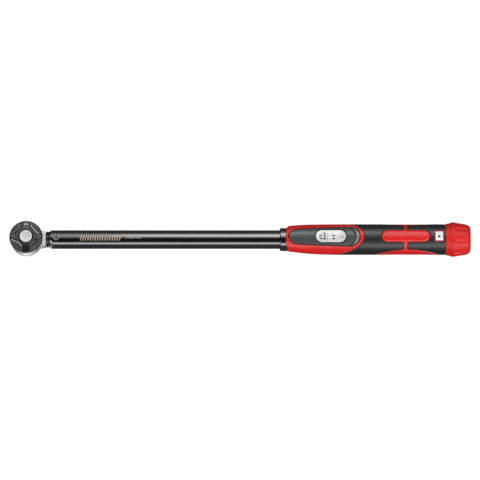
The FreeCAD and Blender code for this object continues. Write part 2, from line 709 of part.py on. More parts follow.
def beyond(line, sign):
    """A large block on one side of the tilted plane X = line[0] + line[1] * Z."""
    start, slope = line
    high = 40.0
    far = 200.0
    corners = [
        Vector(start - slope * high, -high, -high),
        Vector(start + slope * high, -high, high),
        Vector(start + slope * high + sign * far, -high, high),
        Vector(start - slope * high + sign * far, -high, -high),
    ]
    face = Part.Face(Part.makePolygon(corners + corners[:1]))
    return face.extrude(Vector(0, 2 * high, 0))


def panel_prism(grow):
    """The panel's outline, two round ends joined by straight tangents, as a tall prism."""
    (front_x, front_r), (rear_x, rear_r) = PANEL_FRONT, PANEL_REAR
    front_r += grow
    rear_r += grow
    lean = math.asin((rear_r - front_r) / (rear_x - front_x))
    corners = []
    front = (front_x, front_r)
    rear = (rear_x, rear_r)
    for (x, radius), side in ((front, 1), (rear, 1), (rear, -1), (front, -1)):
        corners.append((x - radius * math.sin(lean), side * radius * math.cos(lean)))
    prism = prism_z(corners, 5, GRIP_R + 5)
    prism = prism.fuse(bar_z(5, GRIP_R + 5, front_r, x=front_x))
    return prism.fuse(bar_z(5, GRIP_R + 5, rear_r, x=rear_x))


def window_prism(grow, z0=5.0):
    x0, x1 = WINDOW_X
    return slot_plate((x0 - grow, x1 + grow), WINDOW_HALF + grow, z0, GRIP_R + 5)


def strip_prism():
    """The lens-shaped outline of the side strips, through the whole grip along Y."""
    x0, x1 = STRIP_X
    middle = (x0 + x1) / 2
    ends = Vector(x0, -30, 0), Vector(x1, -30, 0)
    upper = Part.Arc(ends[0], Vector(middle, -30, STRIP_HALF), ends[1]).toShape()
    lower = Part.Arc(ends[1], Vector(middle, -30, -STRIP_HALF), ends[0]).toShape()
    return Part.Face(Part.Wire([upper, lower])).extrude(Vector(0, 60, 0))


def pads_prism():
    pads = slot_plate(PILL_X, PILL_HALF, 0, GRIP_R + 5)
    pads = pads.fuse(bar_x(BAR_X[0], BAR_X[1], GRIP_R + 5))
    return pads.fuse(strip_prism())


def label_prism():
    return block(LABEL_X[0], LABEL_X[1], -LABEL_HALF, LABEL_HALF, 5, GRIP_R + 5)


def underside_trim():
    """Below this plane the shell's chin is cut away towards the front."""
    corners = [(290, -11.0), (366, -18.4), (366, -40), (290, -40)]
    points = [Vector(x, -40, z) for x, z in corners]
    return Part.Face(Part.makePolygon(points + points[:1])).extrude(Vector(0, 80, 0))


def make_handle():
    tube = turned([
        (COLLAR_FRONT, TUBE_R),
        (COLLAR_FRONT, HANDLE_TUBE_R - 1.0),
        (COLLAR_FRONT + 1.0, HANDLE_TUBE_R),
        (HANDLE_TUBE_REAR, HANDLE_TUBE_R),
        (HANDLE_TUBE_REAR, HANDLE_BORE_R),
        (TUBE_REAR, HANDLE_BORE_R),
        (TUBE_REAR, TUBE_R),
    ])
    save("handle_tube", tube.cut(window_prism(0.0, z0=1.0)))

    envelope = grip_profile(0.0).cut(beyond(FRONT_EDGE, -1)).cut(underside_trim())
    rear = envelope.common(beyond(SEAM, 1))
    pads = pads_prism()
    core_bar = bar_x(GRIP_FRONT, GRIP_REAR, CORE_R)
    overmould = rear.cut(core_bar).cut(pads).cut(label_prism().cut(grip_profile(LABEL_THICK)))
    core = envelope.cut(beyond(SEAM, 1))
    core = core.fuse(rear.common(core_bar))
    core = core.fuse(rear.common(pads).common(grip_profile(PAD_DROP)).cut(core_bar))
    core = core.cut(bar_x(GRIP_FRONT - 1, GRIP_REAR + 1, HANDLE_TUBE_R))
    under_panel = grip_profile(PANEL_DROP + PANEL_THICK)
    core = core.cut(panel_prism(0.0).cut(under_panel)).cut(window_prism(FRAME_WIDTH))
    save("grip_core", core.removeSplitter())
    save("grip_overmould", overmould)
    make_window(under_panel)
    label = label_prism().common(grip_profile(0.02)).cut(grip_profile(LABEL_THICK))
    save("lock_label", label)


def make_window(under_panel):
    panel_skin = grip_profile(PANEL_DROP).cut(under_panel)
    panel = panel_prism(-0.05).common(panel_skin).cut(window_prism(FRAME_WIDTH))
    save("display_panel", panel)
    seat = bar_x(WINDOW_X[0] - 5, WINDOW_X[1] + 5, HANDLE_TUBE_R)
    frame = window_prism(FRAME_WIDTH).cut(window_prism(0.0)).common(grip_profile(0.0)).cut(seat)
    save("window_frame", frame)
    lens = window_prism(0.0).common(grip_profile(0.4)).cut(grip_profile(0.4 + LENS_THICK))
    save("scale_lens", lens)


# ---------------------------------------------------------------- knob
def make_knob():
    wall_x = KNOB_CAP_X - 2.0
    shell = turned([
        (KNOB_FRONT, KNOB_BORE_R),
        (KNOB_FRONT, 17.9),
        (484.4, 18.5),
        (485.1, 18.3),
        (487.2, 19.5),
        (488.6, 19.9),
        (491.6, 19.9),
        (493.3, 19.1),
        (498.0, 18.5),
        (502.5, 17.6),
        (508.0, 16.7),
        (509.8, 15.6),
        (KNOB_REAR - 0.1, KNOB_CAP_R + 0.2),
        (KNOB_CAP_X, KNOB_CAP_R),
        (KNOB_CAP_X, KNOB_CAP_R - 1.5),
        (wall_x, KNOB_CAP_R - 1.5),
        (wall_x, KNOB_BORE_R - 1.0),
        (HUB_REAR - 4, KNOB_BORE_R),
    ])
    x0, x1 = FLUTE_X
    for number in range(FLUTES):
        y, z = polar(FLUTE_ORBIT, FLUTE_TURN + 360.0 / FLUTES * number)
        shell = shell.cut(Part.makeCylinder(FLUTE_R, x1 - x0, Vector(x0, y, z), Vector(1, 0, 0)))
        shell = shell.cut(Part.makeSphere(FLUTE_R, Vector(x0, y, z)))
        shell = shell.cut(Part.makeSphere(FLUTE_R, Vector(x1, y, z)))
    save("knob_shell", shell)
    cap = bar_x(KNOB_CAP_X, KNOB_REAR, KNOB_CAP_R - 0.05)
    rim = [e for e in cap.Edges if e.BoundBox.XMin > KNOB_REAR - 0.1]
    save("knob_cap", cap.makeFillet(0.6, rim))
    hub = turned([
        (HUB_FRONT, 0),
        (HUB_FRONT, KNOB_BORE_R),
        (HUB_FRONT + HUB_FLANGE, KNOB_BORE_R),
        (HUB_FRONT + HUB_FLANGE, HUB_R_OUT),
        (HUB_REAR, HUB_R_OUT),
        (HUB_REAR, HUB_BORE_R),
        (HUB_FRONT + HUB_WALL, HUB_BORE_R),
        (HUB_FRONT + HUB_WALL, 0),
    ])
    corner = (HEX_FLATS + 2 * RUN) / math.sqrt(3)
    outline = [polar(corner, 60 * side) for side in range(6)]
    hub = hub.cut(stood_on_x(prism_z(outline, 0, 9), HUB_FRONT - 1))
    spline_front = KNOB_FRONT + 0.4
    ring = bar_x(spline_front, HUB_FRONT, KNOB_BORE_R)
    root = LOCK_RING_R + GAP
    bore = toothed(SPLINES, root + LOCK_TOOTH, root, 0.4, 0.7, 0, HUB_FRONT - spline_front)
    ring = ring.cut(stood_on_x(bore, spline_front))
    save("knob_hub", hub.fuse(ring).removeSplitter())


def make_knob_fixings():
    head_x = SPINDLE_REAR + 1
    save("knob_washer", bar_x(SPINDLE_REAR, head_x, 6.4, bore=KNOB_SCREW_R))
    shank = bar_x(SPINDLE_REAR - 9, head_x, KNOB_SCREW_R - 0.02)
    screw = shank.fuse(bar_x(head_x, head_x + 2.4, 3.5)).removeSplitter()
    socket = [polar(1.7, 60 * side) for side in range(6)]
    screw = screw.cut(stood_on_x(prism_z(socket, 0, 3), head_x + 0.9))
    save("knob_screw", screw)
    clear = KNOB_SPRING_WIRE_R + 0.1
    start = HUB_FRONT + HUB_WALL + clear
    spring = coil(KNOB_SPRING_R, KNOB_SPRING_WIRE_R, SPINDLE_REAR - clear - start, KNOB_SPRING_TURNS)
    save("knob_return_spring", stood_on_x(spring, start))


os.makedirs("parts", exist_ok=True)
make_ratchet_head()
make_head_fittings()
make_drive()
make_release()
make_selector()
make_pawl()
make_tube()
make_click_mechanism()
make_load_nut()
make_spindle()
make_units_drum()
make_thrust_bearing()
make_rear_bearing()
make_handle()
make_knob()
make_knob_fixings()
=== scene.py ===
"""Looks for the click torque wrench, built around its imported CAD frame.

Shapes are worked out in millimetres around the tube's axis and turned into metres when a mesh is made.
An angle is measured around that axis: 0 is straight up (+Z), and 90 degrees is +Y.
"""
import math

import bmesh
import bpy
import numpy as np
from mathutils import Matrix, Vector


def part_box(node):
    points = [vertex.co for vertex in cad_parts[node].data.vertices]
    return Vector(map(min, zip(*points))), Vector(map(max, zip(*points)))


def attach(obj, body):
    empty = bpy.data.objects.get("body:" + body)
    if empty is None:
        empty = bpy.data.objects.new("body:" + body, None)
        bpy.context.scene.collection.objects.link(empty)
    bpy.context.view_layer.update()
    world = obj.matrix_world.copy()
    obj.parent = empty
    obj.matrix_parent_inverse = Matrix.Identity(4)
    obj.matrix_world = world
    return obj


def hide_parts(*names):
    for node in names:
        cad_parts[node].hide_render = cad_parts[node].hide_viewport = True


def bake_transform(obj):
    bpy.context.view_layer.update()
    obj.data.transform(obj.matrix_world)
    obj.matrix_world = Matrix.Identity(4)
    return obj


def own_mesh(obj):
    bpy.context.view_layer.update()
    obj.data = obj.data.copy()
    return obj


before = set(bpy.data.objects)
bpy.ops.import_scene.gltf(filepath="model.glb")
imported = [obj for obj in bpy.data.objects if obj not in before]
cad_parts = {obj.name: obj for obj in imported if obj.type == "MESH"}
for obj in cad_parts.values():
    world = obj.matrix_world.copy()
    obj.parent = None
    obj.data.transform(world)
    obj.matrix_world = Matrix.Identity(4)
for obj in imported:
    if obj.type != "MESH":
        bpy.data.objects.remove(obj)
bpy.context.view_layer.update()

MM = 0.001


def box_mm(node):
    low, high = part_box(node)
    return np.array(low) / MM, np.array(high) / MM


def half_width(node):
    low, high = box_mm(node)
    return (high[1] - low[1]) / 2


# ---- places, from the frame
TUBE_LOW, TUBE_HIGH = box_mm("main_tube")
AXIS = (TUBE_LOW[2] + TUBE_HIGH[2]) / 2
TUBE_R = half_width("main_tube")
COLLAR_R = half_width("handle_tube")
CORE_LOW, CORE_HIGH = box_mm("grip_core")
OVER_LOW, OVER_HIGH = box_mm("grip_overmould")
GRIP_R = half_width("grip_overmould")
LENS_LOW, LENS_HIGH = box_mm("scale_lens")
LENS_HALF = half_width("scale_lens")
FRAME_LOW, FRAME_HIGH = box_mm("window_frame")
PANEL_LOW, PANEL_HIGH = box_mm("display_panel")
LABEL_LOW, LABEL_HIGH = box_mm("lock_label")
LABEL_HALF = half_width("lock_label")
KNOB_LOW, KNOB_HIGH = box_mm("knob_shell")
CAP_LOW, CAP_HIGH = box_mm("knob_cap")
DISC_LOW, DISC_HIGH = box_mm("selector_disc")
SEAL_LOW = box_mm("front_seal")[0]
SLEEVE_R = half_width("coarse_scale_sleeve")
DRUM_LOW = box_mm("units_drum")[0]
DRUM_R = half_width("units_drum")
PIN_LOW, PIN_HIGH = box_mm("pivot_pin")
BUTTON_LOW, BUTTON_HIGH = box_mm("release_button")

# ---- driving dimensions
STEP = 0.4                       # spacing of the grips' mesh points
CORE_R = 15.8                    # the hard core's radius under the soft overmould
SEAM_X = 359.0                   # where the seam crosses the axis's height
SEAM_SLOPE = 1.63                # and how far it moves back for each millimetre up
FRONT_X = 301.5                  # the same for the red shell's front edge
FRONT_SLOPE = -0.2
PANEL_FRONT = (311.0, 10.2)      # centre and radius of the panel's front end
PANEL_REAR = (371.5, 12.2)
CRESCENT = (364.0, 13.3)         # centre and radius of the step near the panel's rear end
SHADE_LINE = 0.85                    # width of the black line around the panel, painted shade in its groove
PILL = (407.4, 463.9, 7.5)       # ends and half width
BAR = (433.0, 437.8)
STRIP = (400.4, 475.0, 9.6)
PAD_GAP = 0.3


# ---- mesh helpers
def around(x, angle, radius):
    """Points at a radius around the tube's axis, in metres."""
    x, angle, radius = np.broadcast_arrays(x, angle, radius)
    return np.stack([x, radius * np.sin(angle), AXIS + radius * np.cos(angle)], axis=-1) * MM


def new_object(name, data):
    obj = bpy.data.objects.new(name, data)
    bpy.context.scene.collection.objects.link(obj)
    return obj


def make_object(name, verts, faces, material, sharp=40.0):
    mesh = bpy.data.meshes.new(name)
    mesh.from_pydata(np.asarray(verts).reshape(-1, 3).tolist(), [], faces)
    mesh.validate()
    mesh.shade_smooth()
    mesh.set_sharp_from_angle(angle=math.radians(sharp))
    mesh.materials.append(material)
    return new_object(name, mesh)


def compact(verts, faces):
    """Leaves out the points that no face uses."""
    used = np.unique(np.concatenate([np.array(face) for face in faces]))
    place = np.full(len(verts), -1)
    place[used] = np.arange(len(used))
    return verts[used], [tuple(int(place[v]) for v in face) for face in faces]


def snap_to(field, x, angle, step, busy):
    """Moves the grid points nearest to the line field = 0 onto it, and says which they are."""
    nudge = 0.02
    turn = nudge / GRIP_R

    def slopes():
        along = (field(x + nudge, angle) - field(x - nudge, angle)) / (2 * nudge)
        across = (field(x, angle + turn) - field(x, angle - turn)) / (2 * nudge)
        return along, across, along ** 2 + across ** 2 + 1e-9

    along, across, size = slopes()
    near = (np.abs(field(x, angle)) < 0.55 * step * np.sqrt(size)) & ~busy
    for _ in range(3):
        value = np.where(near, field(x, angle), 0.0)
        x -= value * along / size
        angle -= value * across / size / GRIP_R
        along, across, size = slopes()
    return near


def closed_shell(faces, rim, count):
    """Adds the faces' copies, turned over and count points on, and the walls along the rim."""
    under = [tuple(v + count for v in reversed(face)) for face in faces]
    return faces + under + [(b, a, a + count, b + count) for a, b in rim]


def skin(name, material, xs, outer, inner, inside, creases=(), angles=None, step=STEP):
    """A closed shell around the tube's axis, from the inner radius to the outer one.

    inside says where there is material (above 0), in millimetres from its edge. Grid points near the
    edge, and near each crease, are moved onto it, so outlines come out smooth.
    """
    full = angles is None
    if full:
        count = int(round(math.tau * GRIP_R / step))
        angles = np.linspace(-math.pi, math.pi, count, endpoint=False)
    x, angle = (a.copy() for a in np.meshgrid(xs, angles, indexing="ij"))
    on_edge = snap_to(inside, x, angle, step, np.zeros(x.shape, bool))
    busy = on_edge.copy()
    for crease in creases:
        busy |= snap_to(crease, x, angle, step, busy)
    keep = (on_edge | (inside(x, angle) > 0)).reshape(-1)

    number = np.arange(x.size).reshape(x.shape)
    following = np.roll(number, -1, axis=1) if full else number[:, 1:]
    here = number if full else number[:, :-1]
    quads = np.stack([here[:-1], here[1:], following[1:], following[:-1]], axis=-1).reshape(-1, 4)
    kept = keep[quads]
    flat_x, flat_angle = x.reshape(-1), angle.reshape(-1)

    def in_material(cells):
        turns = flat_angle[cells]
        wrap = turns - turns[:, :1]
        turns = turns - np.round(wrap / math.tau) * math.tau
        return cells[inside(flat_x[cells].mean(1), turns.mean(1)) > 0].tolist()

    whole = in_material(quads[kept.all(1)])
    partly = quads[kept.sum(1) == 3]
    corners = in_material(partly[keep[partly]].reshape(-1, 3))
    faces = [tuple(face) for face in whole + corners]
    edges = {pair for face in faces for pair in zip(face, face[1:] + face[:1])}
    rim = sorted((a, b) for a, b in edges if (b, a) not in edges)
    faces = closed_shell(faces, rim, x.size)
    low = inner(x, angle) if callable(inner) else inner
    verts = np.stack([around(x, angle, outer(x, angle)), around(x, angle, low)]).reshape(-1, 3)
    return make_object(name, *compact(verts, faces), material)


def make_turned(name, material, places, capped=False, sharp=35.0):
    """A mesh through rings of points in metres. A capped one starts and ends in a single point."""
    stations, count = places.shape[:2]
    number = np.arange(stations * count).reshape(stations, count)
    if capped:
        number[0] = number[0, 0]
        number[-1] = number[-1, 0]
    after = np.roll(number, -1, axis=0)
    quads = np.stack([number, after, np.roll(after, -1, axis=1), np.roll(number, -1, axis=1)], axis=-1)
    if capped:
        quads = quads[:-1]
    faces = [tuple(dict.fromkeys(quad)) for quad in quads.reshape(-1, 4).tolist()]
    return make_object(name, *compact(places.reshape(-1, 3), faces), material, sharp)


def paint_faces(obj, material, rows, mask):
    """Gives a turned mesh's faces another material, by their row and by their place around."""
    obj.data.materials.append(material)
    slots = np.zeros(len(obj.data.polygons), np.int32)
    obj.data.polygons.foreach_get("material_index", slots)
    slots = slots.reshape(-1, len(mask))
    slots[np.ix_(rows, mask)] = len(obj.data.materials) - 1
    obj.data.polygons.foreach_set("material_index", slots.reshape(-1))


def ring_angles(count):
    return np.arange(count) * math.tau / count


def lathe(name, material, outline, count, shape=None, capped=False, sharp=35.0):
    """An (x, radius) outline turned around the tube's axis. Only a capped one touches the axis."""
    x, radius = np.array(outline, float).T[:, :, None]
    angle = ring_angles(count) - math.pi
    if shape is not None:
        radius = shape(x, radius, angle)
    return make_turned(name, material, around(x, angle, radius), capped, sharp)


def upright(rows, turn, centre_x=0.0):
    """Rings of points around an upright axis, from rows of a radius and a height at each turn."""
    radius, height = (np.array([np.broadcast_to(row[k], turn.shape) for row in rows]) for k in (0, 1))
    return np.stack([centre_x + radius * np.cos(turn), radius * np.sin(turn), height], axis=-1) * MM


def fit(piece, body, slot, *nodes):
    """Lets a piece ride on its body, in place of CAD nodes. The slot is not used."""
    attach(piece, body)
    for node in nodes:
        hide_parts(node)


def smooth_step(value):
    value = np.clip(value, 0.0, 1.0)
    return value * value * (3 - 2 * value)


def rounding(depth, radius):
    """How far a rounded edge lies below its surface, at this depth inside the edge."""
    depth = np.clip(depth, 0.0, radius)
    return radius - np.sqrt(np.maximum(radius ** 2 - (radius - depth) ** 2, 0.0))


def soft_max(a, b, blend):
    mix = np.clip(0.5 + 0.5 * (a - b) / blend, 0, 1)
    return b * (1 - mix) + a * mix + blend * mix * (1 - mix)


# ---- outlines on the handle
def plan_y(angle):
    """Y on the grip's surface. Below the axis it runs off, so plan outlines stay on the top."""
    across = GRIP_R * np.sin(angle)
    under = np.cos(angle) < 0
    return np.where(under, np.sign(across + 1e-9) * (2 * GRIP_R - np.abs(across)), across)


def stadium(x, y, x0, x1, half):
    straight = np.clip(x, x0 + half, x1 - half)
    return half - np.hypot(x - straight, y)


def seam(x, angle):
    """Distance behind the seam between the red shell and the overmould."""
    return (x - SEAM_X - SEAM_SLOPE * GRIP_R * np.cos(angle)) / math.hypot(1, 0.7 * SEAM_SLOPE)


def front_edge(x, angle):
    return x - FRONT_X - FRONT_SLOPE * GRIP_R * np.cos(angle)


def panel_field(x, angle):
    """Distance inside the panel's outline, two round ends joined by straight tangents."""
    (front_x, front_r), (rear_x, rear_r) = PANEL_FRONT, PANEL_REAR
    length = rear_x - front_x
    lean = (front_r - rear_r) / length
    level = math.sqrt(1 - lean ** 2)
    across = np.abs(plan_y(angle))
    along = x - front_x
    share = -lean * across + level * along
    distance = across * level + along * lean - front_r
    distance = np.where(share < 0, np.hypot(across, along) - front_r, distance)
    distance = np.where(share > level * length, np.hypot(across, along - length) - rear_r, distance)
    return -distance


def window_field(x, angle):
    return stadium(x, plan_y(angle), LENS_LOW[0], LENS_HIGH[0], LENS_HALF)


def pill_field(x, angle):
    return stadium(x, plan_y(angle), *PILL)


def strip_field(x, angle):
    x0, x1, half = STRIP
    middle, chord = (x0 + x1) / 2, (x1 - x0) / 2
    arc_r = (chord ** 2 + half ** 2) / (2 * half)
    height = GRIP_R * np.cos(angle)
    upper = np.hypot(x - middle, height + arc_r - half)
    lower = np.hypot(x - middle, height - arc_r + half)
    return arc_r - np.maximum(upper, lower)


def bar_field(x, angle):
    return (BAR[1] - BAR[0]) / 2 - np.abs(x - (BAR[0] + BAR[1]) / 2)


def exposed(x, angle):
    """Distance inside the openings of the overmould, where the red core shows."""
    return soft_max(soft_max(pill_field(x, angle), bar_field(x, angle), 1.2), strip_field(x, angle), 1.2)


def label_field(x, angle):
    middle, half = (LABEL_LOW[0] + LABEL_HIGH[0]) / 2, (LABEL_HIGH[0] - LABEL_LOW[0]) / 2
    corner = 1.0
    over_x = np.abs(x - middle) - half + corner
    over_y = np.abs(plan_y(angle)) - LABEL_HALF + corner
    outside = np.hypot(np.maximum(over_x, 0), np.maximum(over_y, 0))
    return corner - outside - np.minimum(np.maximum(over_x, over_y), 0)


def shell_radius(x, angle):
    """The red shell's surface. Its underside tapers more towards the front than its top does."""
    top = GRIP_R - 2.6 * np.exp(-(x - 297.0) / 14.0)
    chin = GRIP_R + 0.1 - 5.6 * np.exp(-(x - 302.0) / 16.0)
    chin = np.maximum(chin, COLLAR_R + 0.45)
    share = smooth_step((np.abs(angle) - math.radians(68)) / math.radians(42))
    return np.minimum(top * (1 - share) + chin * share, GRIP_R)


# ---- materials
NOISE_MIDDLE = (0.3, 0.7)         # the range that nearly all of a noise's values are in


def set_sockets(node, sockets):
    """Sets a node's constant sockets. An underscore in a name stands for a space."""
    for socket, value in sockets.items():
        node.inputs[socket.replace("_", " ")].default_value = value


def add_node(tree, kind, **sockets):
    node = tree.nodes.new("ShaderNode" + kind)
    set_sockets(node, sockets)
    return node


def new_material(name, color, roughness, metallic=0.0, **sockets):
    material = bpy.data.materials.new(name)
    material.use_nodes = True
    shader = material.node_tree.nodes["Principled BSDF"]
    set_sockets(shader, dict(sockets, Base_Color=(*color, 1.0), Roughness=roughness, Metallic=metallic))
    return material, material.node_tree, shader


def noise(tree, scale, detail=3.0, stretch=(1, 1, 1), rough=0.5):
    """Noise in the object's own metres: scale 1000 has features of about a millimetre."""
    place = add_node(tree, "TexCoord")
    mapping = add_node(tree, "Mapping", Scale=stretch)
    texture = add_node(tree, "TexNoise", Scale=scale, Detail=detail, Roughness=rough)
    tree.links.new(place.outputs["Object"], mapping.inputs["Vector"])
    tree.links.new(mapping.outputs["Vector"], texture.inputs["Vector"])
    return texture.outputs["Fac"]


def vary_roughness(tree, shader, value, low, high):
    """Maps the middle of a noise's range to a roughness of low..high."""
    first, last = NOISE_MIDDLE
    node = add_node(tree, "MapRange", From_Min=first, From_Max=last, To_Min=low, To_Max=high)
    tree.links.new(value, node.inputs["Value"])
    tree.links.new(node.outputs["Result"], shader.inputs["Roughness"])


def vary_color(tree, shader, value, first, second):
    """Maps the middle of a noise's range to the colours between two."""
    node = add_node(tree, "ValToRGB")
    for element, place, color in zip(node.color_ramp.elements, NOISE_MIDDLE, (first, second)):
        element.position = place
        element.color = (*color, 1)
    tree.links.new(value, node.inputs["Fac"])
    tree.links.new(node.outputs["Color"], shader.inputs["Base Color"])


def bump(tree, height, strength, distance, before=None):
    node = add_node(tree, "Bump", Strength=strength, Distance=distance)
    tree.links.new(height, node.inputs["Height"])
    if before is not None:
        tree.links.new(before, node.inputs["Normal"])
    return node.outputs["Normal"]


def round_edges(tree, radius):
    node = add_node(tree, "Bevel", Radius=radius)
    node.samples = 4
    return node.outputs["Normal"]


def chrome_material():
    material, tree, shader = new_material("satin_chrome", (0.95, 0.96, 0.97), 0.16, 0.6)
    vary_roughness(tree, shader, noise(tree, 220.0, 5.0), 0.12, 0.20)
    vary_color(tree, shader, noise(tree, 60.0), (0.94, 0.95, 0.96), (0.99, 0.99, 0.99))
    fine = bump(tree, noise(tree, 900.0, 2.0), 0.04, 0.0002, round_edges(tree, 0.0005))
    tree.links.new(fine, shader.inputs["Normal"])
    return material


def paint_material():
    material, tree, shader = new_material("gloss_black_enamel", (0.003, 0.003, 0.003), 0.14,
                                          IOR=2.6, Coat_Weight=1.0, Coat_Roughness=0.06)
    vary_roughness(tree, shader, noise(tree, 300.0, 4.0), 0.10, 0.15)
    vary_color(tree, shader, noise(tree, 90.0), (0.002, 0.002, 0.002), (0.004, 0.004, 0.004))
    peel = bump(tree, noise(tree, 650.0, 2.0), 0.05, 0.0003, round_edges(tree, 0.0004))
    tree.links.new(peel, shader.inputs["Normal"])
    return material


def turned_steel_material(name, color, roughness, mark_strength=0.15, metallic=1.0):
    """Steel with fine turning marks around the tube's axis."""
    material, tree, shader = new_material(name, color, roughness, metallic)
    marks = noise(tree, 60.0, 4.0, (60, 2, 2))
    darker = tuple(c * 0.8 for c in color)
    vary_roughness(tree, shader, marks, roughness - 0.08, roughness + 0.1)
    vary_color(tree, shader, noise(tree, 150.0, 4.0), darker, color)
    tree.links.new(bump(tree, marks, mark_strength, 0.0001), shader.inputs["Normal"])
    return material


def moulded_material(name, color, deep, roughness, grain, grain_depth, **sockets):
    """A moulded plastic or rubber with a fine eroded grain and a slight mottle."""
    material, tree, shader = new_material(name, color, roughness, **sockets)
    vary_color(tree, shader, noise(tree, 120.0, 5.0), deep, color)
    vary_roughness(tree, shader, noise(tree, 700.0), roughness - 0.06, roughness + 0.08)
    broad = bump(tree, noise(tree, 350.0, 2.0), grain_depth * 0.5, 0.0002)
    fine = bump(tree, noise(tree, grain, rough=0.6), grain_depth, 0.0001, broad)
    tree.links.new(fine, shader.inputs["Normal"])
    return material


def lens_material():
    material, tree, shader = new_material("clear_acrylic", (0.96, 0.98, 1.0), 0.04, Alpha=0.05, IOR=1.49)
    vary_roughness(tree, shader, noise(tree, 250.0), 0.02, 0.07)
    return material


def print_material(name, color, roughness=0.45):
    material, tree, shader = new_material(name, color, roughness)
    lighter = tuple(min(1.0, c * 1.1 + 0.01) for c in color)
    vary_color(tree, shader, noise(tree, 900.0), color, lighter)
    vary_roughness(tree, shader, noise(tree, 1500.0), roughness - 0.07, roughness + 0.07)
    return material


CHROME = chrome_material()
PAINT = paint_material()
STEEL = turned_steel_material("turned_steel", (0.56, 0.57, 0.59), 0.28)
SPRING = turned_steel_material("spring_wire", (0.34, 0.35, 0.37), 0.34, 0.05)
BALLS = turned_steel_material("bearing_balls", (0.78, 0.79, 0.80), 0.12, 0.0)
OXIDE_AND_DISH_SHADE = turned_steel_material("black_oxide", (0.035, 0.035, 0.04), 0.35, 0.05)
# Dark oxide for the screws and the plug, also used as painted shade on the pivot pin's dish.
BRONZE = turned_steel_material("turned_bronze", (0.62, 0.40, 0.19), 0.3)
RED = moulded_material("red_shell_plastic", (0.84, 0.013, 0.012), (0.76, 0.009, 0.009), 0.32, 2600.0, 0.10,
                       IOR=1.62, Coat_Weight=0.15, Coat_Roughness=0.25)
KNOB_RED = moulded_material("red_knob_plastic", (0.80, 0.018, 0.016), (0.72, 0.013, 0.012), 0.42, 2600.0,
                            0.10, IOR=1.42)
RUBBER = moulded_material("soft_overmould", (0.013, 0.014, 0.015), (0.008, 0.009, 0.010), 0.36, 3000.0, 0.16,
                          IOR=1.75)
SEAL = moulded_material("seal_rubber", (0.005, 0.005, 0.005), (0.003, 0.003, 0.003), 0.30, 1800.0, 0.12)
PANEL = moulded_material("panel_plastic", (0.086, 0.091, 0.092), (0.068, 0.073, 0.075), 0.24, 2200.0, 0.05,
                         Coat_Weight=0.4, Coat_Roughness=0.12)
BLACK = moulded_material("black_nylon", (0.012, 0.012, 0.013), (0.007, 0.007, 0.008), 0.33, 1600.0, 0.15)
TEXTURED = moulded_material("scallop_texture", (0.10, 0.10, 0.105), (0.035, 0.035, 0.037), 0.5, 1500.0, 0.6)
WHITE = moulded_material("scale_white", (0.95, 0.95, 0.94), (0.92, 0.92, 0.91), 0.45, 1500.0, 0.02)
LENS = lens_material()
INK = print_material("black_ink", (0.012, 0.012, 0.014))
RED_INK = print_material("red_ink", (0.70, 0.05, 0.06))
GOLD_INK = print_material("tan_ink", (0.56, 0.45, 0.34))
GREY_INK = print_material("grey_ink", (0.45, 0.43, 0.41))
# A lighter grey for the heel behind the panel's step: a painted highlight.
PANEL_HEEL_HIGHLIGHT = moulded_material("panel_heel_painted_highlight", (0.26, 0.28, 0.28), (0.18, 0.20, 0.20), 0.22, 2200.0,
                               0.05, Coat_Weight=0.4, Coat_Roughness=0.1)
DISC = moulded_material("selector_nylon", (0.020, 0.020, 0.021), (0.012, 0.012, 0.013), 0.20, 1600.0, 0.06,
                        IOR=1.8, Coat_Weight=0.5, Coat_Roughness=0.12)
RIDGE = moulded_material("selector_ridge_nylon", (0.016, 0.016, 0.017), (0.010, 0.010, 0.011), 0.15, 1600.0,
                         0.03, IOR=2.7)
ARROWS = print_material("pointer_paint", (0.80, 0.80, 0.80), 0.4)
FAINT = print_material("faint_pointer_paint", (0.16, 0.16, 0.165), 0.4)
PIN_STEEL = turned_steel_material("worn_pin_steel", (0.42, 0.42, 0.43), 0.36, 0.05, 0.5)
SATIN = turned_steel_material("satin_button_steel", (0.91, 0.91, 0.92), 0.38, 0.05, 0.4)
POLISHED = turned_steel_material("polished_button_rim", (0.99, 0.99, 0.99), 0.30, 0.02, 0.15)


# ---- carried-over CAD nodes
def dress(material, *nodes):
    for node in nodes:
        obj = bpy.data.objects[node]
        obj.data.materials.clear()
        obj.data.materials.append(material)


dress(CHROME, "ratchet_head", "square_drive_gear")
dress(STEEL, "cover_plate", "pawl", "pawl_pin", "shift_peg", "plunger", "tilting_block", "load_nut")
dress(STEEL, "adjusting_spindle", "release_rod", "knob_washer", "front_spring_washer", "rear_spring_washer")
dress(STEEL, "lock_ring")
dress(SPRING, "selector_detent_spring", "cover_snap_ring", "selector_circlip")
dress(BALLS, "socket_ball", "selector_detent_ball", "thrust_balls", "thrust_race_front", "thrust_race_rear")
dress(BRONZE, "pivot_bush", "rear_bush", "thrust_ball_cage")
dress(OXIDE_AND_DISH_SHADE, "nut_key_screw", "drum_set_screw", "knob_screw", "bearing_plug")
dress(PAINT, "main_tube", "handle_tube")
dress(WHITE, "coarse_scale_sleeve", "units_drum")
dress(BLACK, "knob_hub", "button_bezel")


# ---- red shell and hard core
RECESS = 1.75                    # depth of the panel's recess
SKIN_BOTTOM = COLLAR_R + 0.05
FRAME_WIDTH = LENS_LOW[0] - FRAME_LOW[0]


def window_edge(x, angle):
    """Distance outside the window's frame."""
    return -(window_field(x, angle) + FRAME_WIDTH)


def core_inside(x, angle):
    ends = np.minimum(front_edge(x, angle), CORE_HIGH[0] - x)
    return np.minimum(ends, window_edge(x, angle))


def pad_edge(x, angle):
    return exposed(x, angle) - PAD_GAP


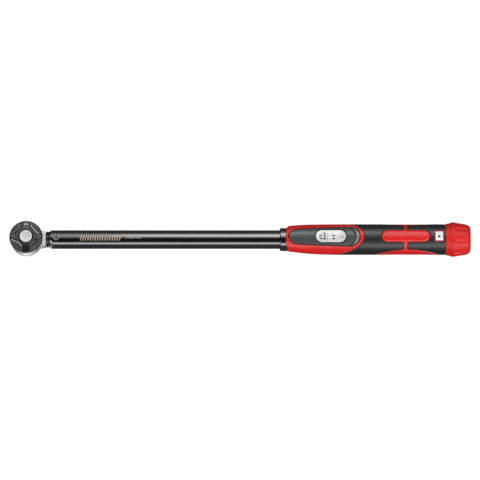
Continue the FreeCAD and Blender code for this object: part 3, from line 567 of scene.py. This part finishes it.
def pill_relief(x, angle):
    """A raised rim line and a row of slanted bars on the long pad."""
    depth = pill_field(x, angle)
    rim = 0.28 * smooth_step(1 - np.abs(depth - 0.95) / 0.5)
    rim -= 0.3 * smooth_step(1 - np.abs(depth - 1.75) / 0.5)
    across = plan_y(angle)
    slanted = (x - 0.45 * across - PILL[0]) / 4.2
    bar = smooth_step((0.30 - np.abs(slanted - np.round(slanted))) * 4.2 / 0.5)
    inner = smooth_step((3.1 - np.abs(across)) / 0.5) * smooth_step((depth - 4.0) / 0.5)
    return rim + 0.18 * bar * inner


def pad_surface(x, angle):
    top = 17.1 + 0.25 * smooth_step(pill_field(x, angle)) + 0.3 * smooth_step(strip_field(x, angle) / 1.5)
    relief = np.where(pill_field(x, angle) > 0, pill_relief(x, angle), 0)
    return np.minimum(top, 17.42) - rounding(pad_edge(x, angle), 0.6) + relief


def core_outer(x, angle):
    surface = shell_radius(x, angle)
    ahead = -seam(x, angle)
    red = surface - rounding(front_edge(x, angle), 1.1) - rounding(ahead, 0.35)
    red -= rounding(np.maximum(-panel_field(x, angle), 0), 0.45)
    red = np.where(panel_field(x, angle) > 0.06, surface - RECESS, red)
    under = np.where(pad_edge(x, angle) > -0.01, pad_surface(x, angle), CORE_R - 0.05)
    return np.where(ahead > -0.01, red, under)


def build_core():
    xs = np.arange(CORE_LOW[0] - 1.2, CORE_HIGH[0] + STEP, STEP)
    creases = (panel_field, seam, pad_edge)
    core = skin("red_grip_shell", RED, xs, core_outer, SKIN_BOTTOM, core_inside, creases)
    fit(core, "wrench_body", "red_plastic", "grip_core")


# ---- soft overmould
def over_inside(x, angle):
    ends = np.minimum(seam(x, angle) - 0.15, OVER_HIGH[0] - x)
    return np.minimum(ends, -exposed(x, angle))


def over_outer(x, angle):
    radius = GRIP_R - rounding(seam(x, angle) - 0.15, 0.5) - rounding(OVER_HIGH[0] - x, 0.7)
    radius -= rounding(-exposed(x, angle), 0.9)
    return np.where(label_field(x, angle) > 0.05, GRIP_R - 0.45, radius)


def build_overmould():
    xs = np.arange(OVER_LOW[0] - 1.0, OVER_HIGH[0] + STEP, STEP)
    over = skin("soft_grip_overmould", RUBBER, xs, over_outer, CORE_R, over_inside, (label_field,))
    fit(over, "wrench_body", "grip_rubber", "grip_overmould")


# ---- panel and window
FINE = 0.2                       # spacing of the mesh points at the window and the label
HEEL_GAP = 1.4                   # between the plateau and the heel behind it


def top_grid(low, high, margin, step):
    """The places and angles of a grid over a box on the grip's top, with the grid's spacing."""
    reach = math.asin(min((high[1] + margin) / GRIP_R, 0.95))
    angles = np.arange(-reach, reach + step / GRIP_R, step / GRIP_R)
    return np.arange(low[0] - margin, high[0] + margin, step), angles, step


def crescent_field(x, angle):
    """Distance behind the step near the panel's rear end."""
    outside = np.hypot(x - CRESCENT[0], plan_y(angle)) - CRESCENT[1]
    return np.where(x > CRESCENT[0], outside, np.minimum(outside, x - CRESCENT[0]))


def panel_top(x, angle):
    return shell_radius(x, angle) - 0.12


def panel_floor(x, angle):
    return shell_radius(x, angle) - RECESS + 0.02


def plateau_inside(x, angle):
    edges = np.minimum(panel_field(x, angle) - SHADE_LINE, window_edge(x, angle) - 0.02)
    return np.minimum(edges, -crescent_field(x, angle))


def heel_inside(x, angle):
    return np.minimum(panel_field(x, angle) - SHADE_LINE, crescent_field(x, angle) - HEEL_GAP)


def plateau_top(x, angle):
    edge = np.minimum(panel_field(x, angle) - SHADE_LINE, -crescent_field(x, angle))
    return panel_top(x, angle) - rounding(edge, 0.9)


def heel_top(x, angle):
    return panel_top(x, angle) - 0.75 - rounding(heel_inside(x, angle), 0.3)


def gasket_inside(x, angle):
    """A black ring around the panel, with the band between its plateau and its heel: painted shade in the
    groove and at the step.
    """
    depth = panel_field(x, angle)
    behind = crescent_field(x, angle)
    band = np.minimum(behind - 0.05, HEEL_GAP - 0.05 - behind)
    return np.minimum(depth - 0.04, np.maximum(SHADE_LINE - 0.04 - depth, band))


def gasket_top(x, angle):
    return shell_radius(x, angle) - 0.45 - rounding(gasket_inside(x, angle), 0.3)


def frame_inside(x, angle):
    depth = window_field(x, angle)
    return np.minimum(depth + FRAME_WIDTH - 0.02, -depth)


def frame_top(x, angle):
    return np.minimum(shell_radius(x, angle) + 0.1, GRIP_R) - rounding(frame_inside(x, angle), 0.5)


LINER = 3.3                      # how far the liner's slope reaches in from the window's edge
LINER_LOW = SLEEVE_R + 0.2
LINER_TOP = 16.7


def liner_inside(x, angle):
    depth = window_field(x, angle)
    return np.minimum(depth - 0.02, LINER - depth)


def liner_top(x, angle):
    share = np.clip(window_field(x, angle) / LINER, 0, 1)
    return LINER_TOP - (LINER_TOP - 0.2 - LINER_LOW) * share


def build_panel():
    panel = top_grid(PANEL_LOW, PANEL_HIGH, 1.0, 0.3)
    window = top_grid(FRAME_LOW, FRAME_HIGH, 0.6, FINE)
    lens_top = lambda x, angle: shell_radius(x, angle) - 0.35 - rounding(window_field(x, angle) - 0.05, 0.3)
    lens_inside = lambda x, angle: window_field(x, angle) - 0.04
    rows = (
        ("display_panel_plateau", PANEL, panel, (plateau_top, panel_floor, plateau_inside), "panel_plastic",
         "display_panel"),
        # The heel behind the step is coloured lighter than the plateau: a painted highlight.
        ("display_panel_heel", PANEL_HEEL_HIGHLIGHT, panel, (heel_top, panel_floor, heel_inside), "panel_plastic"),
        # A black piece in the groove around the panel and at its step: painted shade.
        ("panel_gasket", BLACK, panel, (gasket_top, panel_floor, gasket_inside), "black_plastic"),
        ("window_bezel", BLACK, window, (frame_top, SKIN_BOTTOM, frame_inside), "black_plastic",
         "window_frame"),
        ("window_liner", WHITE, window, (liner_top, LINER_LOW, liner_inside), "scale_white"),
        ("window_lens", LENS, window, (lens_top, LINER_TOP + 0.02, lens_inside), "clear_lens", "scale_lens"),
    )
    for name, material, (xs, angles, step), shape, slot, *nodes in rows:
        piece = skin(name, material, xs, *shape, (), angles, step)
        fit(piece, "wrench_body", slot, *nodes)


# ---- printed marks
def add_polygon(flat, points):
    flat.faces.new([flat.verts.new((x, arc, 0)) for x, arc in points])


def add_bar(flat, x, arc, length, width, slant=0.0):
    """A bar along X, leaning forward by slant from its lower to its upper edge."""
    half, high = length / 2, width / 2
    lean = slant / 2
    add_polygon(flat, ((x - half - lean, arc - high), (x + half - lean, arc - high),
                       (x + half + lean, arc + high), (x - half + lean, arc + high)))


def add_digits(flat, text, size, x, arc, bold=0.045):
    """Digits that read from the near side to the far side of the tube."""
    curve = bpy.data.curves.new("digits", "FONT")
    curve.body = text
    curve.size = size
    curve.align_x = "CENTER"
    curve.align_y = "CENTER"
    curve.resolution_u = 3
    curve.offset = bold * size
    holder = new_object("digits", curve)
    bpy.context.view_layer.update()
    shown = holder.evaluated_get(bpy.context.evaluated_depsgraph_get())
    mesh = bpy.data.meshes.new_from_object(shown)
    for vert in mesh.vertices:
        vert.co = (x - vert.co.y, arc + vert.co.x, 0)
    flat.from_mesh(mesh)
    bpy.data.objects.remove(holder)
    bpy.data.curves.remove(curve)
    bpy.data.meshes.remove(mesh)


def bend(name, flat, material, radius, body, slot, lift=0.02, thick=0.05):
    """Bends flat marks around the tube's axis, a hair above a surface, as thin closed pieces."""
    bmesh.ops.remove_doubles(flat, verts=flat.verts, dist=1e-4)
    arcs = [vert.co.y for vert in flat.verts]
    for arc in np.arange(min(arcs) + 0.45, max(arcs), 0.45):
        everything = flat.verts[:] + flat.edges[:] + flat.faces[:]
        bmesh.ops.bisect_plane(flat, geom=everything, plane_co=(0, arc, 0), plane_no=(0, 1, 0), dist=1e-5)
    flat.normal_update()
    bmesh.ops.reverse_faces(flat, faces=[face for face in flat.faces if face.normal.z < 0])
    flat.verts.index_update()
    x, arc = np.array([vert.co.xy for vert in flat.verts]).T
    faces = [tuple(vert.index for vert in face.verts) for face in flat.faces]
    loops = [edge.link_loops[0] for edge in flat.edges if len(edge.link_faces) == 1]
    rim = [(loop.vert.index, loop.link_loop_next.vert.index) for loop in loops]
    flat.free()
    verts = [around(x, arc / radius, radius + height) for height in (lift + thick, lift)]
    fit(make_object(name, verts, closed_shell(faces, rim, len(x)), material), body, slot)


def build_scales():
    coarse = bmesh.new()
    first_x, pitch = LENS_LOW[0] + 5.4, 15.2
    for place, text in enumerate(("20", "40", "60")):
        for side, digit in zip((-1, 1), text):
            add_digits(coarse, digit, 4.6, first_x + place * pitch, side * 2.0, 0.065)
    for x in (first_x + 9.6, first_x + 11.4):
        for arc in (-3.2, 3.2):
            add_bar(coarse, x, arc, 0.35, 1.5)
    bend("coarse_scale_digits", coarse, INK, SLEEVE_R, "load_nut_carriage", "label_print")

    fine = bmesh.new()
    ring = math.tau * DRUM_R
    numbers = 10
    for number in range(numbers):
        arc = ring * (number / numbers - 0.5) + 0.1
        add_digits(fine, str(number), 3.3, DRUM_LOW[0] + 5.4, arc)
        add_bar(fine, DRUM_LOW[0] + 2.0, arc, 2.6, 0.4)
    bend("units_scale_digits", fine, INK, DRUM_R, "spindle", "label_print")
    ticks = bmesh.new()
    for tick in range(5 * numbers):
        if tick % 5:
            add_bar(ticks, DRUM_LOW[0] + 1.5, ring * (tick / (5 * numbers) - 0.5) + 0.1, 2.0, 0.28)
    add_bar(ticks, DRUM_LOW[0] + 8.3, 0.0, 0.3, ring * 0.98)
    bend("units_scale_ticks", ticks, RED_INK, DRUM_R, "spindle", "label_print")

    index = bmesh.new()
    x = LENS_LOW[0] + 10.1
    add_bar(index, x, 0.6, 1.6, 7.4)
    add_polygon(index, ((x - 0.8, -3.1), (x + 0.8, -3.1), (x + 0.8, -4.4), (x - 1.7, -4.4), (x - 2.2, -3.7)))
    for place in range(4):
        add_bar(index, x + 3.0, 3.2 - 2.2 * place, 1.7, 0.5)
        add_bar(index, x + 2.4, 2.1 - 2.2 * place, 0.5, 1.1)
    bend("index_line", index, INK, 16.55, "wrench_body", "label_print")


def build_tube_marks():
    """A row of slanted bars and a row of fine ticks, where such a tool carries its printing."""
    first_bar, bar_pitch, first_tick, tick_pitch = 63.0, 2.8, 115.0, 1.25
    bars = bmesh.new()
    for number in range(17):
        add_bar(bars, first_bar + bar_pitch * number, -0.7, 1.1, 6.2, 1.3)
    bend("tube_hazard_bars", bars, GOLD_INK, TUBE_R, "wrench_body", "label_print", lift=0.01)
    ticks = bmesh.new()
    for number in range(15):
        add_bar(ticks, first_tick + tick_pitch * number, -0.4, 0.5, 1.9 if number % 5 else 2.9, 0.4)
    bend("tube_fine_ticks", ticks, GREY_INK, TUBE_R, "wrench_body", "label_print", lift=0.01)


def build_label():
    xs, *grid = top_grid(LABEL_LOW, LABEL_HIGH, 0.5, FINE)
    low, border = GRIP_R - 0.42, 1.15
    plate_top = lambda x, angle: GRIP_R - 0.14
    plate_inside = lambda x, angle: label_field(x, angle) - border
    border_inside = lambda x, angle: np.minimum(label_field(x, angle) - 0.15, border - label_field(x, angle))
    border_top = lambda x, angle: GRIP_R - 0.03 - rounding(border_inside(x, angle), 0.12)
    plate = skin("lock_label_plate", WHITE, xs, plate_top, low, plate_inside, (), *grid)
    edge = skin("lock_label_border", RED_INK, xs, border_top, low, border_inside, (), *grid)
    fit(plate, "wrench_body", "scale_white", "lock_label")
    fit(edge, "wrench_body", "label_print")

    icon = bmesh.new()
    x = (LABEL_LOW[0] + LABEL_HIGH[0]) / 2
    add_bar(icon, x, -0.9, 2.8, 1.9)
    add_bar(icon, x - 0.95, 0.63, 0.4, 1.1)
    add_bar(icon, x + 0.95, 0.63, 0.4, 1.1)
    add_bar(icon, x, 1.41, 2.3, 0.4)
    bend("lock_label_icon", icon, INK, GRIP_R - 0.14, "wrench_body", "label_print", lift=0.005, thick=0.04)


# ---- selector disc
SCALLOP_CENTRE = 24.2            # how far a scallop's centre is from the disc's
SCALLOP_R = 13.9
TEETH = 50
CROWN = 1.6                      # how far the star's top falls away at its arms' ends
DISC_R = half_width("selector_disc")
DISC_BORE = half_width("button_bezel") + 0.08
DISC_RIM = DISC_R - 1.15


def star_radius(turn):
    """Where the star's edge lies at each angle around the drive's axis."""
    off = (turn + math.pi / 4) % (math.pi / 2) - math.pi / 4
    off = np.abs(off) - math.pi / 4
    inside = SCALLOP_R ** 2 - (SCALLOP_CENTRE * np.sin(off)) ** 2
    hit = SCALLOP_CENTRE * np.cos(off) - np.sqrt(np.maximum(inside, 0.0))
    return np.where(inside > 0, hit, 99.0)


def crown(radius, drop=0.0):
    """The height of the star's top."""
    return DISC_HIGH[2] - drop - CROWN * ((radius - DISC_BORE) / (DISC_RIM - DISC_BORE)) ** 2


def build_selector():
    bottom, top = DISC_LOW[2], DISC_HIGH[2]
    floor = top - 0.95
    turn = ring_angles(TEETH * 12)
    star = np.minimum(star_radius(turn), DISC_RIM - 0.35)
    room = DISC_RIM - star
    open_share = smooth_step((room - 0.35) / 3.2)
    share = np.abs((turn * TEETH / math.tau) % 1.0 - 0.5) * 2
    knurl = DISC_R - 0.95 * smooth_step((share - 0.3) / 0.45)

    def lip(shift, height):
        """A station beside the star, squeezed against it where the scallop is narrow."""
        wide = np.minimum(star + shift, DISC_RIM)
        narrow = star + room * shift / 6.0
        level = floor + height * open_share - 1.15 * (1 - open_share) - 0.01 * shift
        return wide * open_share + narrow * (1 - open_share), level

    start = DISC_BORE + 0.3
    flat = star - 1.0
    middle = (start + flat) / 2
    rows = [
        (DISC_BORE, bottom),
        (DISC_BORE, top - 0.5),
        (DISC_BORE + 0.12, top - 0.12),
        (start, top),
        (middle, crown(middle)),
        (flat, crown(flat)),
        (star - 0.85, crown(star - 0.85, 0.14)),
        (star - 0.5, crown(star - 0.5, 1.25)),
    ]
    groove = len(rows)
    stations = ((0.25, -0.35), (0.45, -0.02), (1.4, 0.37), (1.55, 0.4), (1.7, 0.37), (2.6, 0), (2.75, -0.02))
    rows += [lip(*station) for station in stations]
    patch = len(rows) - 1
    rows += [lip(3.9, 0.0), (DISC_RIM, lip(6.0, -0.05)[1])]
    rim = len(rows) - 1
    rows += [
        (DISC_RIM + 0.04, rows[rim][1] - 0.3),
        (knurl - 0.05, top - 3.6),
        (knurl, top - 3.8),
        (knurl, bottom + 0.7),
        (knurl - 0.3, bottom + 0.3),
        (DISC_RIM - 0.6, bottom),
    ]
    places = upright(rows, turn)
    reach = np.hypot(places[..., 0], places[..., 1])
    for row in range(groove + 1, rim):
        grown = np.maximum(reach[row], reach[row - 1] + 0.01 * MM)
        places[row, :, :2] *= (grown / reach[row])[:, None]
        reach[row] = grown
    disc = make_turned("selector_star", DISC, places, sharp=14.0)
    paint_faces(disc, TEXTURED, range(patch, rim), open_share > 0.55)
    paint_faces(disc, RIDGE, range(groove + 1, groove + 5), open_share > 0.1)
    paint_faces(disc, SEAL, range(rim, len(rows) - 1), np.ones(len(turn), bool))
    fit(disc, "selector", "black_plastic", "selector_disc")


def build_pointers():
    """The raised pointers at the ends of three of the star's arms, and the dot behind the first."""
    arms = (("selector_pointer", ARROWS, 90.0, ((12.9, 1.0), (15.2, 0.75), (15.7, 1.9), (13.2, 2.3))),
            ("selector_left_pointer", FAINT, 180.0, ((14.0, 0.5), (16.4, 0.3), (17.0, 0.9), (14.6, 1.5))),
            ("selector_right_pointer", FAINT, 0.0, ((13.8, 0.9), (16.2, 0.3), (16.9, 0.9), (14.4, 1.9))))
    for name, material, arm, corners in arms:
        lean = math.radians(arm)
        verts, faces = [], []
        for side in (1, -1):
            base = len(verts)
            for lift in (-0.6, 0.08):
                for out, off in corners:
                    x = out * math.cos(lean) - side * off * math.sin(lean)
                    y = out * math.sin(lean) + side * off * math.cos(lean)
                    verts.append((x, y, crown(math.hypot(x, y)) + lift))
            for face in ((0, 1, 2, 3), (7, 6, 5, 4), (0, 4, 5, 1), (1, 5, 6, 2), (2, 6, 7, 3), (3, 7, 4, 0)):
                faces.append(tuple(base + v for v in (face if side < 0 else reversed(face))))
        fit(make_object(name, np.array(verts) * MM, faces, material), "selector", "black_plastic")
    dot_y = 12.3
    level = crown(dot_y)
    rows = ((0, level + 0.06), (0.6, level + 0.06), (0.75, level), (0.75, level - 0.5), (0, level - 0.5))
    places = upright(rows, ring_angles(32)) + np.array([0.0, dot_y, 0.0]) * MM
    fit(make_turned("selector_dot", INK, places, True), "selector", "black_plastic")


# ---- button, pin and seal
def build_button():
    edge, low, high = half_width("release_button") - 0.02, BUTTON_LOW[2], BUTTON_HIGH[2]
    rows = ((0, high - 0.25), (3.0, high - 0.25), (5.2, high - 0.25), (5.45, high - 0.18), (5.6, high - 0.03),
            (5.8, high), (edge - 0.5, high), (edge - 0.2, high - 0.12), (edge - 0.05, high - 0.35),
            (edge, high - 0.7), (edge, low + 0.15), (edge - 0.15, low), (3.1, low), (3.05, low + 1.2),
            (0, low + 1.2))
    places = upright(rows, ring_angles(128))
    button = make_turned("release_button_cap", SATIN, places, True)
    paint_faces(button, POLISHED, range(2, 9), np.ones(places.shape[1], bool))
    fit(button, "release_plunger", "chrome", "release_button")


def build_pin():
    """The pivot pin, its two ends rounded like the tube and dished in the middle."""
    centre, edge = (PIN_LOW[0] + PIN_HIGH[0]) / 2, (PIN_HIGH[0] - PIN_LOW[0]) / 2 - 0.02
    turn = ring_angles(64)
    rings = [(0, 1.0), (0.9, 1.0), (1.05, 0.9), (2.15, 0.16), (2.35, 0.02), (edge - 0.35, 0.02),
             (edge - 0.08, 0.12), (edge, 0.35)]
    rows = []
    for side, order in ((1, rings), (-1, rings[::-1])):
        for reach, drop in order:
            top = np.sqrt((TUBE_R - 0.05) ** 2 - (reach * np.sin(turn)) ** 2) - drop
            rows.append((reach, AXIS + side * top))
    pin = make_turned("pivot_pin_dished", PIN_STEEL, upright(rows, turn, centre), True)
    # The dish's sloping wall gets the dark oxide material: painted shade in the hollow.
    paint_faces(pin, OXIDE_AND_DISH_SHADE, (1, 2, len(rows) - 4, len(rows) - 3), np.ones(len(turn), bool))
    fit(pin, "wrench_body", "machined_steel", "pivot_pin")


def build_seal():
    """The rubber seal behind the head, with two ribs."""
    bore, inner_r = 7.86, 8.85
    rib = half_width("front_seal") - 0.02
    ribs = ((0, bore), (0, 8.3), (0.25, 8.75), (0.8, rib - 0.1), (1.3, rib), (1.9, rib - 0.15), (2.3, 8.75),
            (2.6, 8.7), (2.9, 8.8), (3.3, rib - 0.12), (3.8, rib))
    sleeve = ((-0.05, rib - 0.05), (-0.02, inner_r), (3.9, inner_r), (3.9, bore))
    outline = [(SEAL_LOW[0] + x, r) for x, r in ribs] + [(TUBE_LOW[0] + x, r) for x, r in sleeve]
    seal = lathe("front_seal_ribbed", SEAL, outline, 128, sharp=50.0)
    fit(seal, "wrench_body", "seal_rubber", "front_seal")


# ---- knob
KNOB_FLUTES = 8
FLUTE_TURN = math.radians(-20.0)


def resampled(outline, spacing):
    """Points at even distances along a smooth curve through the outline's corners."""
    outline = softened_line(np.array(outline, float))
    lengths = np.concatenate([[0], np.cumsum(np.hypot(*np.diff(outline, axis=0).T))])
    places = np.linspace(0, lengths[-1], int(lengths[-1] / spacing) + 1)
    return np.stack([np.interp(places, lengths, outline[:, k]) for k in (0, 1)], axis=-1)


def softened_line(points, rounds=3):
    """Cuts an open outline's corners, a few times over."""
    for _ in range(rounds):
        ahead = points[:-1] * 0.75 + points[1:] * 0.25
        behind = points[:-1] * 0.25 + points[1:] * 0.75
        inner = np.stack([ahead, behind], axis=1).reshape(-1, 2)
        points = np.concatenate([points[:1], inner[1:-1], points[-1:]])
    return points


def knob_shape(x, radius, angle):
    """Eight finger flutes around the knob's tapered end."""
    pitch = math.tau / KNOB_FLUTES
    nearest = (angle - FLUTE_TURN + pitch / 2) % pitch - pitch / 2
    middle = KNOB_LOW[0] + 17.2
    along = np.abs(x - middle) / 8.2
    across = np.abs(nearest) * radius / 3.4
    share = np.clip(1 - along ** 2.6 - across ** 2.0, 0.0, 1.0)
    return radius - np.where(radius > 16.3, 1.9 * share * (2 - share) * 0.8, 0.0)


def build_knob():
    front, rear = KNOB_LOW[0], CAP_LOW[0]
    skirt = ((0, 17.2), (0.1, 17.9), (1.6, 18.25), (3.1, 18.5), (3.6, 18.35), (4.1, 18.45), (4.8, 18.85),
             (6.2, 19.4), (7.6, 19.8), (9.4, 19.95), (11.5, 19.6), (14.0, 19.1), (17.2, 18.7), (21.5, 17.95),
             (25.5, 17.1))
    end = ((-0.2, 16.2), (1.4, 15.0), (2.2, 13.6), (1.9, 13.1), (0.9, 13.05))
    inside = ((-0.4, 13.0), (-0.4, 14.4), (-1.9, 15.2), (-3.6, 16.05), (front - rear, 16.05))
    outer = resampled([(front + x, r) for x, r in skirt] + [(rear + x, r) for x, r in end], 0.4)
    outline = np.concatenate([outer, [(rear + x, r) for x, r in inside]])
    shell = lathe("knob_grip_shell", KNOB_RED, outline, 320, knob_shape)
    face = ((-1.0, 12.95), (-0.75, 12.6), (-0.5, 11.8), (-0.42, 10.0), (-0.7, 9.7), (-0.7, 8.9), (-0.35, 8.6),
            (-0.1, 4.0), (0, 0))
    outline = [(rear, 0), (rear, face[0][1])] + [(CAP_HIGH[0] + x, r) for x, r in face]
    cap = lathe("knob_end_cap", KNOB_RED, outline, 96, capped=True)
    fit(shell, "knob", "red_plastic", "knob_shell")
    fit(cap, "knob", "red_plastic", "knob_cap")


# ---- springs
def coil(name, node, along, wire, turns, part=(0.0, 1.0)):
    """A closed-end coil that fills a CAD spring's box. part is the share of its turns that is made."""
    low, high = box_mm(node)
    first, second = (along + 1) % 3, (along + 2) % 3
    middle = (low + high) / 2
    radius = (high[first] - low[first]) / 2 - wire
    length = high[along] - low[along] - 2 * wire
    sides, steps = 10, 24
    turn = np.linspace(part[0] * turns, part[1] * turns, int((part[1] - part[0]) * turns * steps) + 1)
    end = 2.1 * wire
    rise = np.interp(turn, (0, 1, turns - 1, turns), (0, end, length - end, length))
    out = np.zeros((len(turn), 3))
    out[:, first], out[:, second] = np.cos(turn * math.tau), np.sin(turn * math.tau)
    centre = middle + out * radius
    centre[:, along] = low[along] + wire + rise
    heading = np.gradient(centre, axis=0)
    heading /= np.linalg.norm(heading, axis=1)[:, None]
    over = np.cross(heading, out)
    lean = ring_angles(sides)[None, :, None]
    places = centre[:, None] + wire * (np.cos(lean) * out[:, None] + np.sin(lean) * over[:, None])
    number = np.arange(len(turn) * sides).reshape(-1, sides)
    after = np.roll(number, -1, axis=1)
    quads = np.stack([number[:-1], after[:-1], after[1:], number[1:]], axis=-1).reshape(-1, 4)
    faces = [tuple(face) for face in quads.tolist() + [number[0, ::-1].tolist(), number[-1].tolist()]]
    return make_object(name, places * MM, faces, SPRING)


def build_springs():
    """The three springs, made as coils. The main one is in two halves, one for each end."""
    low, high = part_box("main_spring")
    middle = ((low[0] + high[0]) / 2, 0, AXIS * MM)
    front = coil("main_spring_front", "main_spring", 0, 1.6, 18, (0.0, 0.5))
    rear = coil("main_spring_rear", "main_spring", 0, 1.6, 18, (0.5, 1.0))
    press = coil("release_spring_coil", "release_spring", 2, 0.4, 8)
    back = coil("knob_spring_coil", "knob_return_spring", 0, 0.7, 6)
    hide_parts("main_spring")
    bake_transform(front)
    fit(rear, "wrench_body", "spring_steel")
    fit(press, "square_drive", "spring_steel", "release_spring")
    fit(back, "spindle", "spring_steel", "knob_return_spring")
    press_low, press_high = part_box("release_spring")
    back_low, back_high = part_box("knob_return_spring")
    squashed = (
        (rear, "load_nut_slide", (1, 0, 0), middle, high[0] - middle[0]),
        (press, "release_press", (0, 0, 1), tuple(press_low), press_high[2] - press_low[2]),
        (back, "knob_unlock", (1, 0, 0), tuple(back_high), back_high[0] - back_low[0]),
    )
    for piece, joint, axis, anchor, length in squashed:
        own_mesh(piece)


build_core()
build_overmould()
build_panel()
build_scales()
build_tube_marks()
build_label()
build_selector()
build_pointers()
build_button()
build_pin()
build_seal()
build_knob()
build_springs()


# ---- floor, light and camera
def build_floor():
    size, low = 3.0, -0.0006
    mesh = bpy.data.meshes.new("studio_floor")
    corners = [(-size, -size, low), (size, -size, low), (size, size, low), (-size, size, low)]
    mesh.from_pydata(corners, [], [(0, 1, 2, 3)])
    material, tree, shader = new_material("studio_floor", (0.07, 0.07, 0.07), 0.9)
    glow = add_node(tree, "Emission", Strength=1.05)
    path = add_node(tree, "LightPath")
    mix = add_node(tree, "MixShader")
    tree.links.new(path.outputs["Is Camera Ray"], mix.inputs["Fac"])
    tree.links.new(shader.outputs["BSDF"], mix.inputs[1])
    tree.links.new(glow.outputs["Emission"], mix.inputs[2])
    tree.links.new(mix.outputs["Shader"], tree.nodes["Material Output"].inputs["Surface"])
    mesh.materials.append(material)
    new_object("studio_floor", mesh)


MIDDLE = Vector(((DISC_LOW[0] + KNOB_HIGH[0]) / 2, 0, AXIS)) * MM


def aim(obj, target):
    """Turns an object so that its -Z looks at the target and its +Y is as near the world's as it can be."""
    back = (obj.location - target).normalized()
    right = Vector((0, 1, 0)).cross(back).normalized()
    rows = (right, back.cross(right), back)
    obj.rotation_euler = Matrix([[row[k] for row in rows] for k in range(3)]).to_euler()


def box_light(name, place, target, size, power):
    """A softbox, its places given from the middle of the wrench. The camera doesn't see it."""
    data = bpy.data.lights.new(name, "AREA")
    data.shape = "RECTANGLE"
    data.size, data.size_y = size
    data.energy = power
    light = new_object(name, data)
    light.location = MIDDLE + Vector(place)
    light.visible_camera = False
    aim(light, MIDDLE + Vector(target))


def strip_light(name, lean, distance, half_span, radiance, ends=(-1.2, 1.2)):
    """A softbox along the wrench, leaning from straight up towards +Y, its spans in degrees."""
    turn = math.radians(lean)
    length, middle = ends[1] - ends[0], (ends[0] + ends[1]) / 2
    width = 2 * distance * math.tan(math.radians(half_span))
    place = (middle, distance * math.sin(turn), distance * math.cos(turn))
    box_light(name, place, (middle, 0, 0), (length, width), radiance * math.pi * length * width)


def build_light():
    strip_light("far_fill", 40.0, 0.90, 39.0, 0.28)
    strip_light("far_strip", 37.0, 0.88, 22.0, 0.60)
    strip_light("far_core", 37.5, 0.86, 13.0, 1.30, (-0.17, 1.2))
    strip_light("near_strip", -63.0, 0.90, 17.0, 0.85)
    strip_light("near_core", -64.5, 0.88, 8.0, 0.95)
    box_light("left_end", (-0.9, -0.74, 0.74), (0, 0, 0), (0.8, 0.8), 4.0)
    box_light("right_end", (0.9, -0.74, 0.74), (0, 0, 0), (0.8, 0.8), 8.0)
    cards = (("head_card", 0.0225, 0.085, 0.95), ("head_edge_card", 0.0150, 0.0225, 0.25))
    for name, near_y, far_y, radiance in cards:
        x, y = -MIDDLE.x - 0.009, -(near_y + far_y) / 2
        size = (0.072, far_y - near_y)
        box_light(name, (x, y, -MIDDLE.z), (x, y, 1.0), size, radiance * math.pi * size[0] * size[1])
    world = bpy.data.worlds.new("studio_world")
    world.use_nodes = True
    world.node_tree.nodes["Background"].inputs["Color"].default_value = (1, 1, 1, 1)
    world.node_tree.nodes["Background"].inputs["Strength"].default_value = 0.01
    bpy.context.scene.world = world
    bpy.context.scene.view_settings.view_transform = "Standard"


def build_camera():
    distance = 4.6
    rise = math.radians(75.0)
    data = bpy.data.cameras.new("camera")
    data.lens = 300.0
    data.sensor_width = 36.0
    camera = new_object("camera", data)
    target = MIDDLE + Vector((0, -0.0005, 0))
    camera.location = target + Vector((0, -math.cos(rise), math.sin(rise))) * distance
    aim(camera, target)
    bpy.context.scene.camera = camera


build_floor()
build_light()
build_camera()
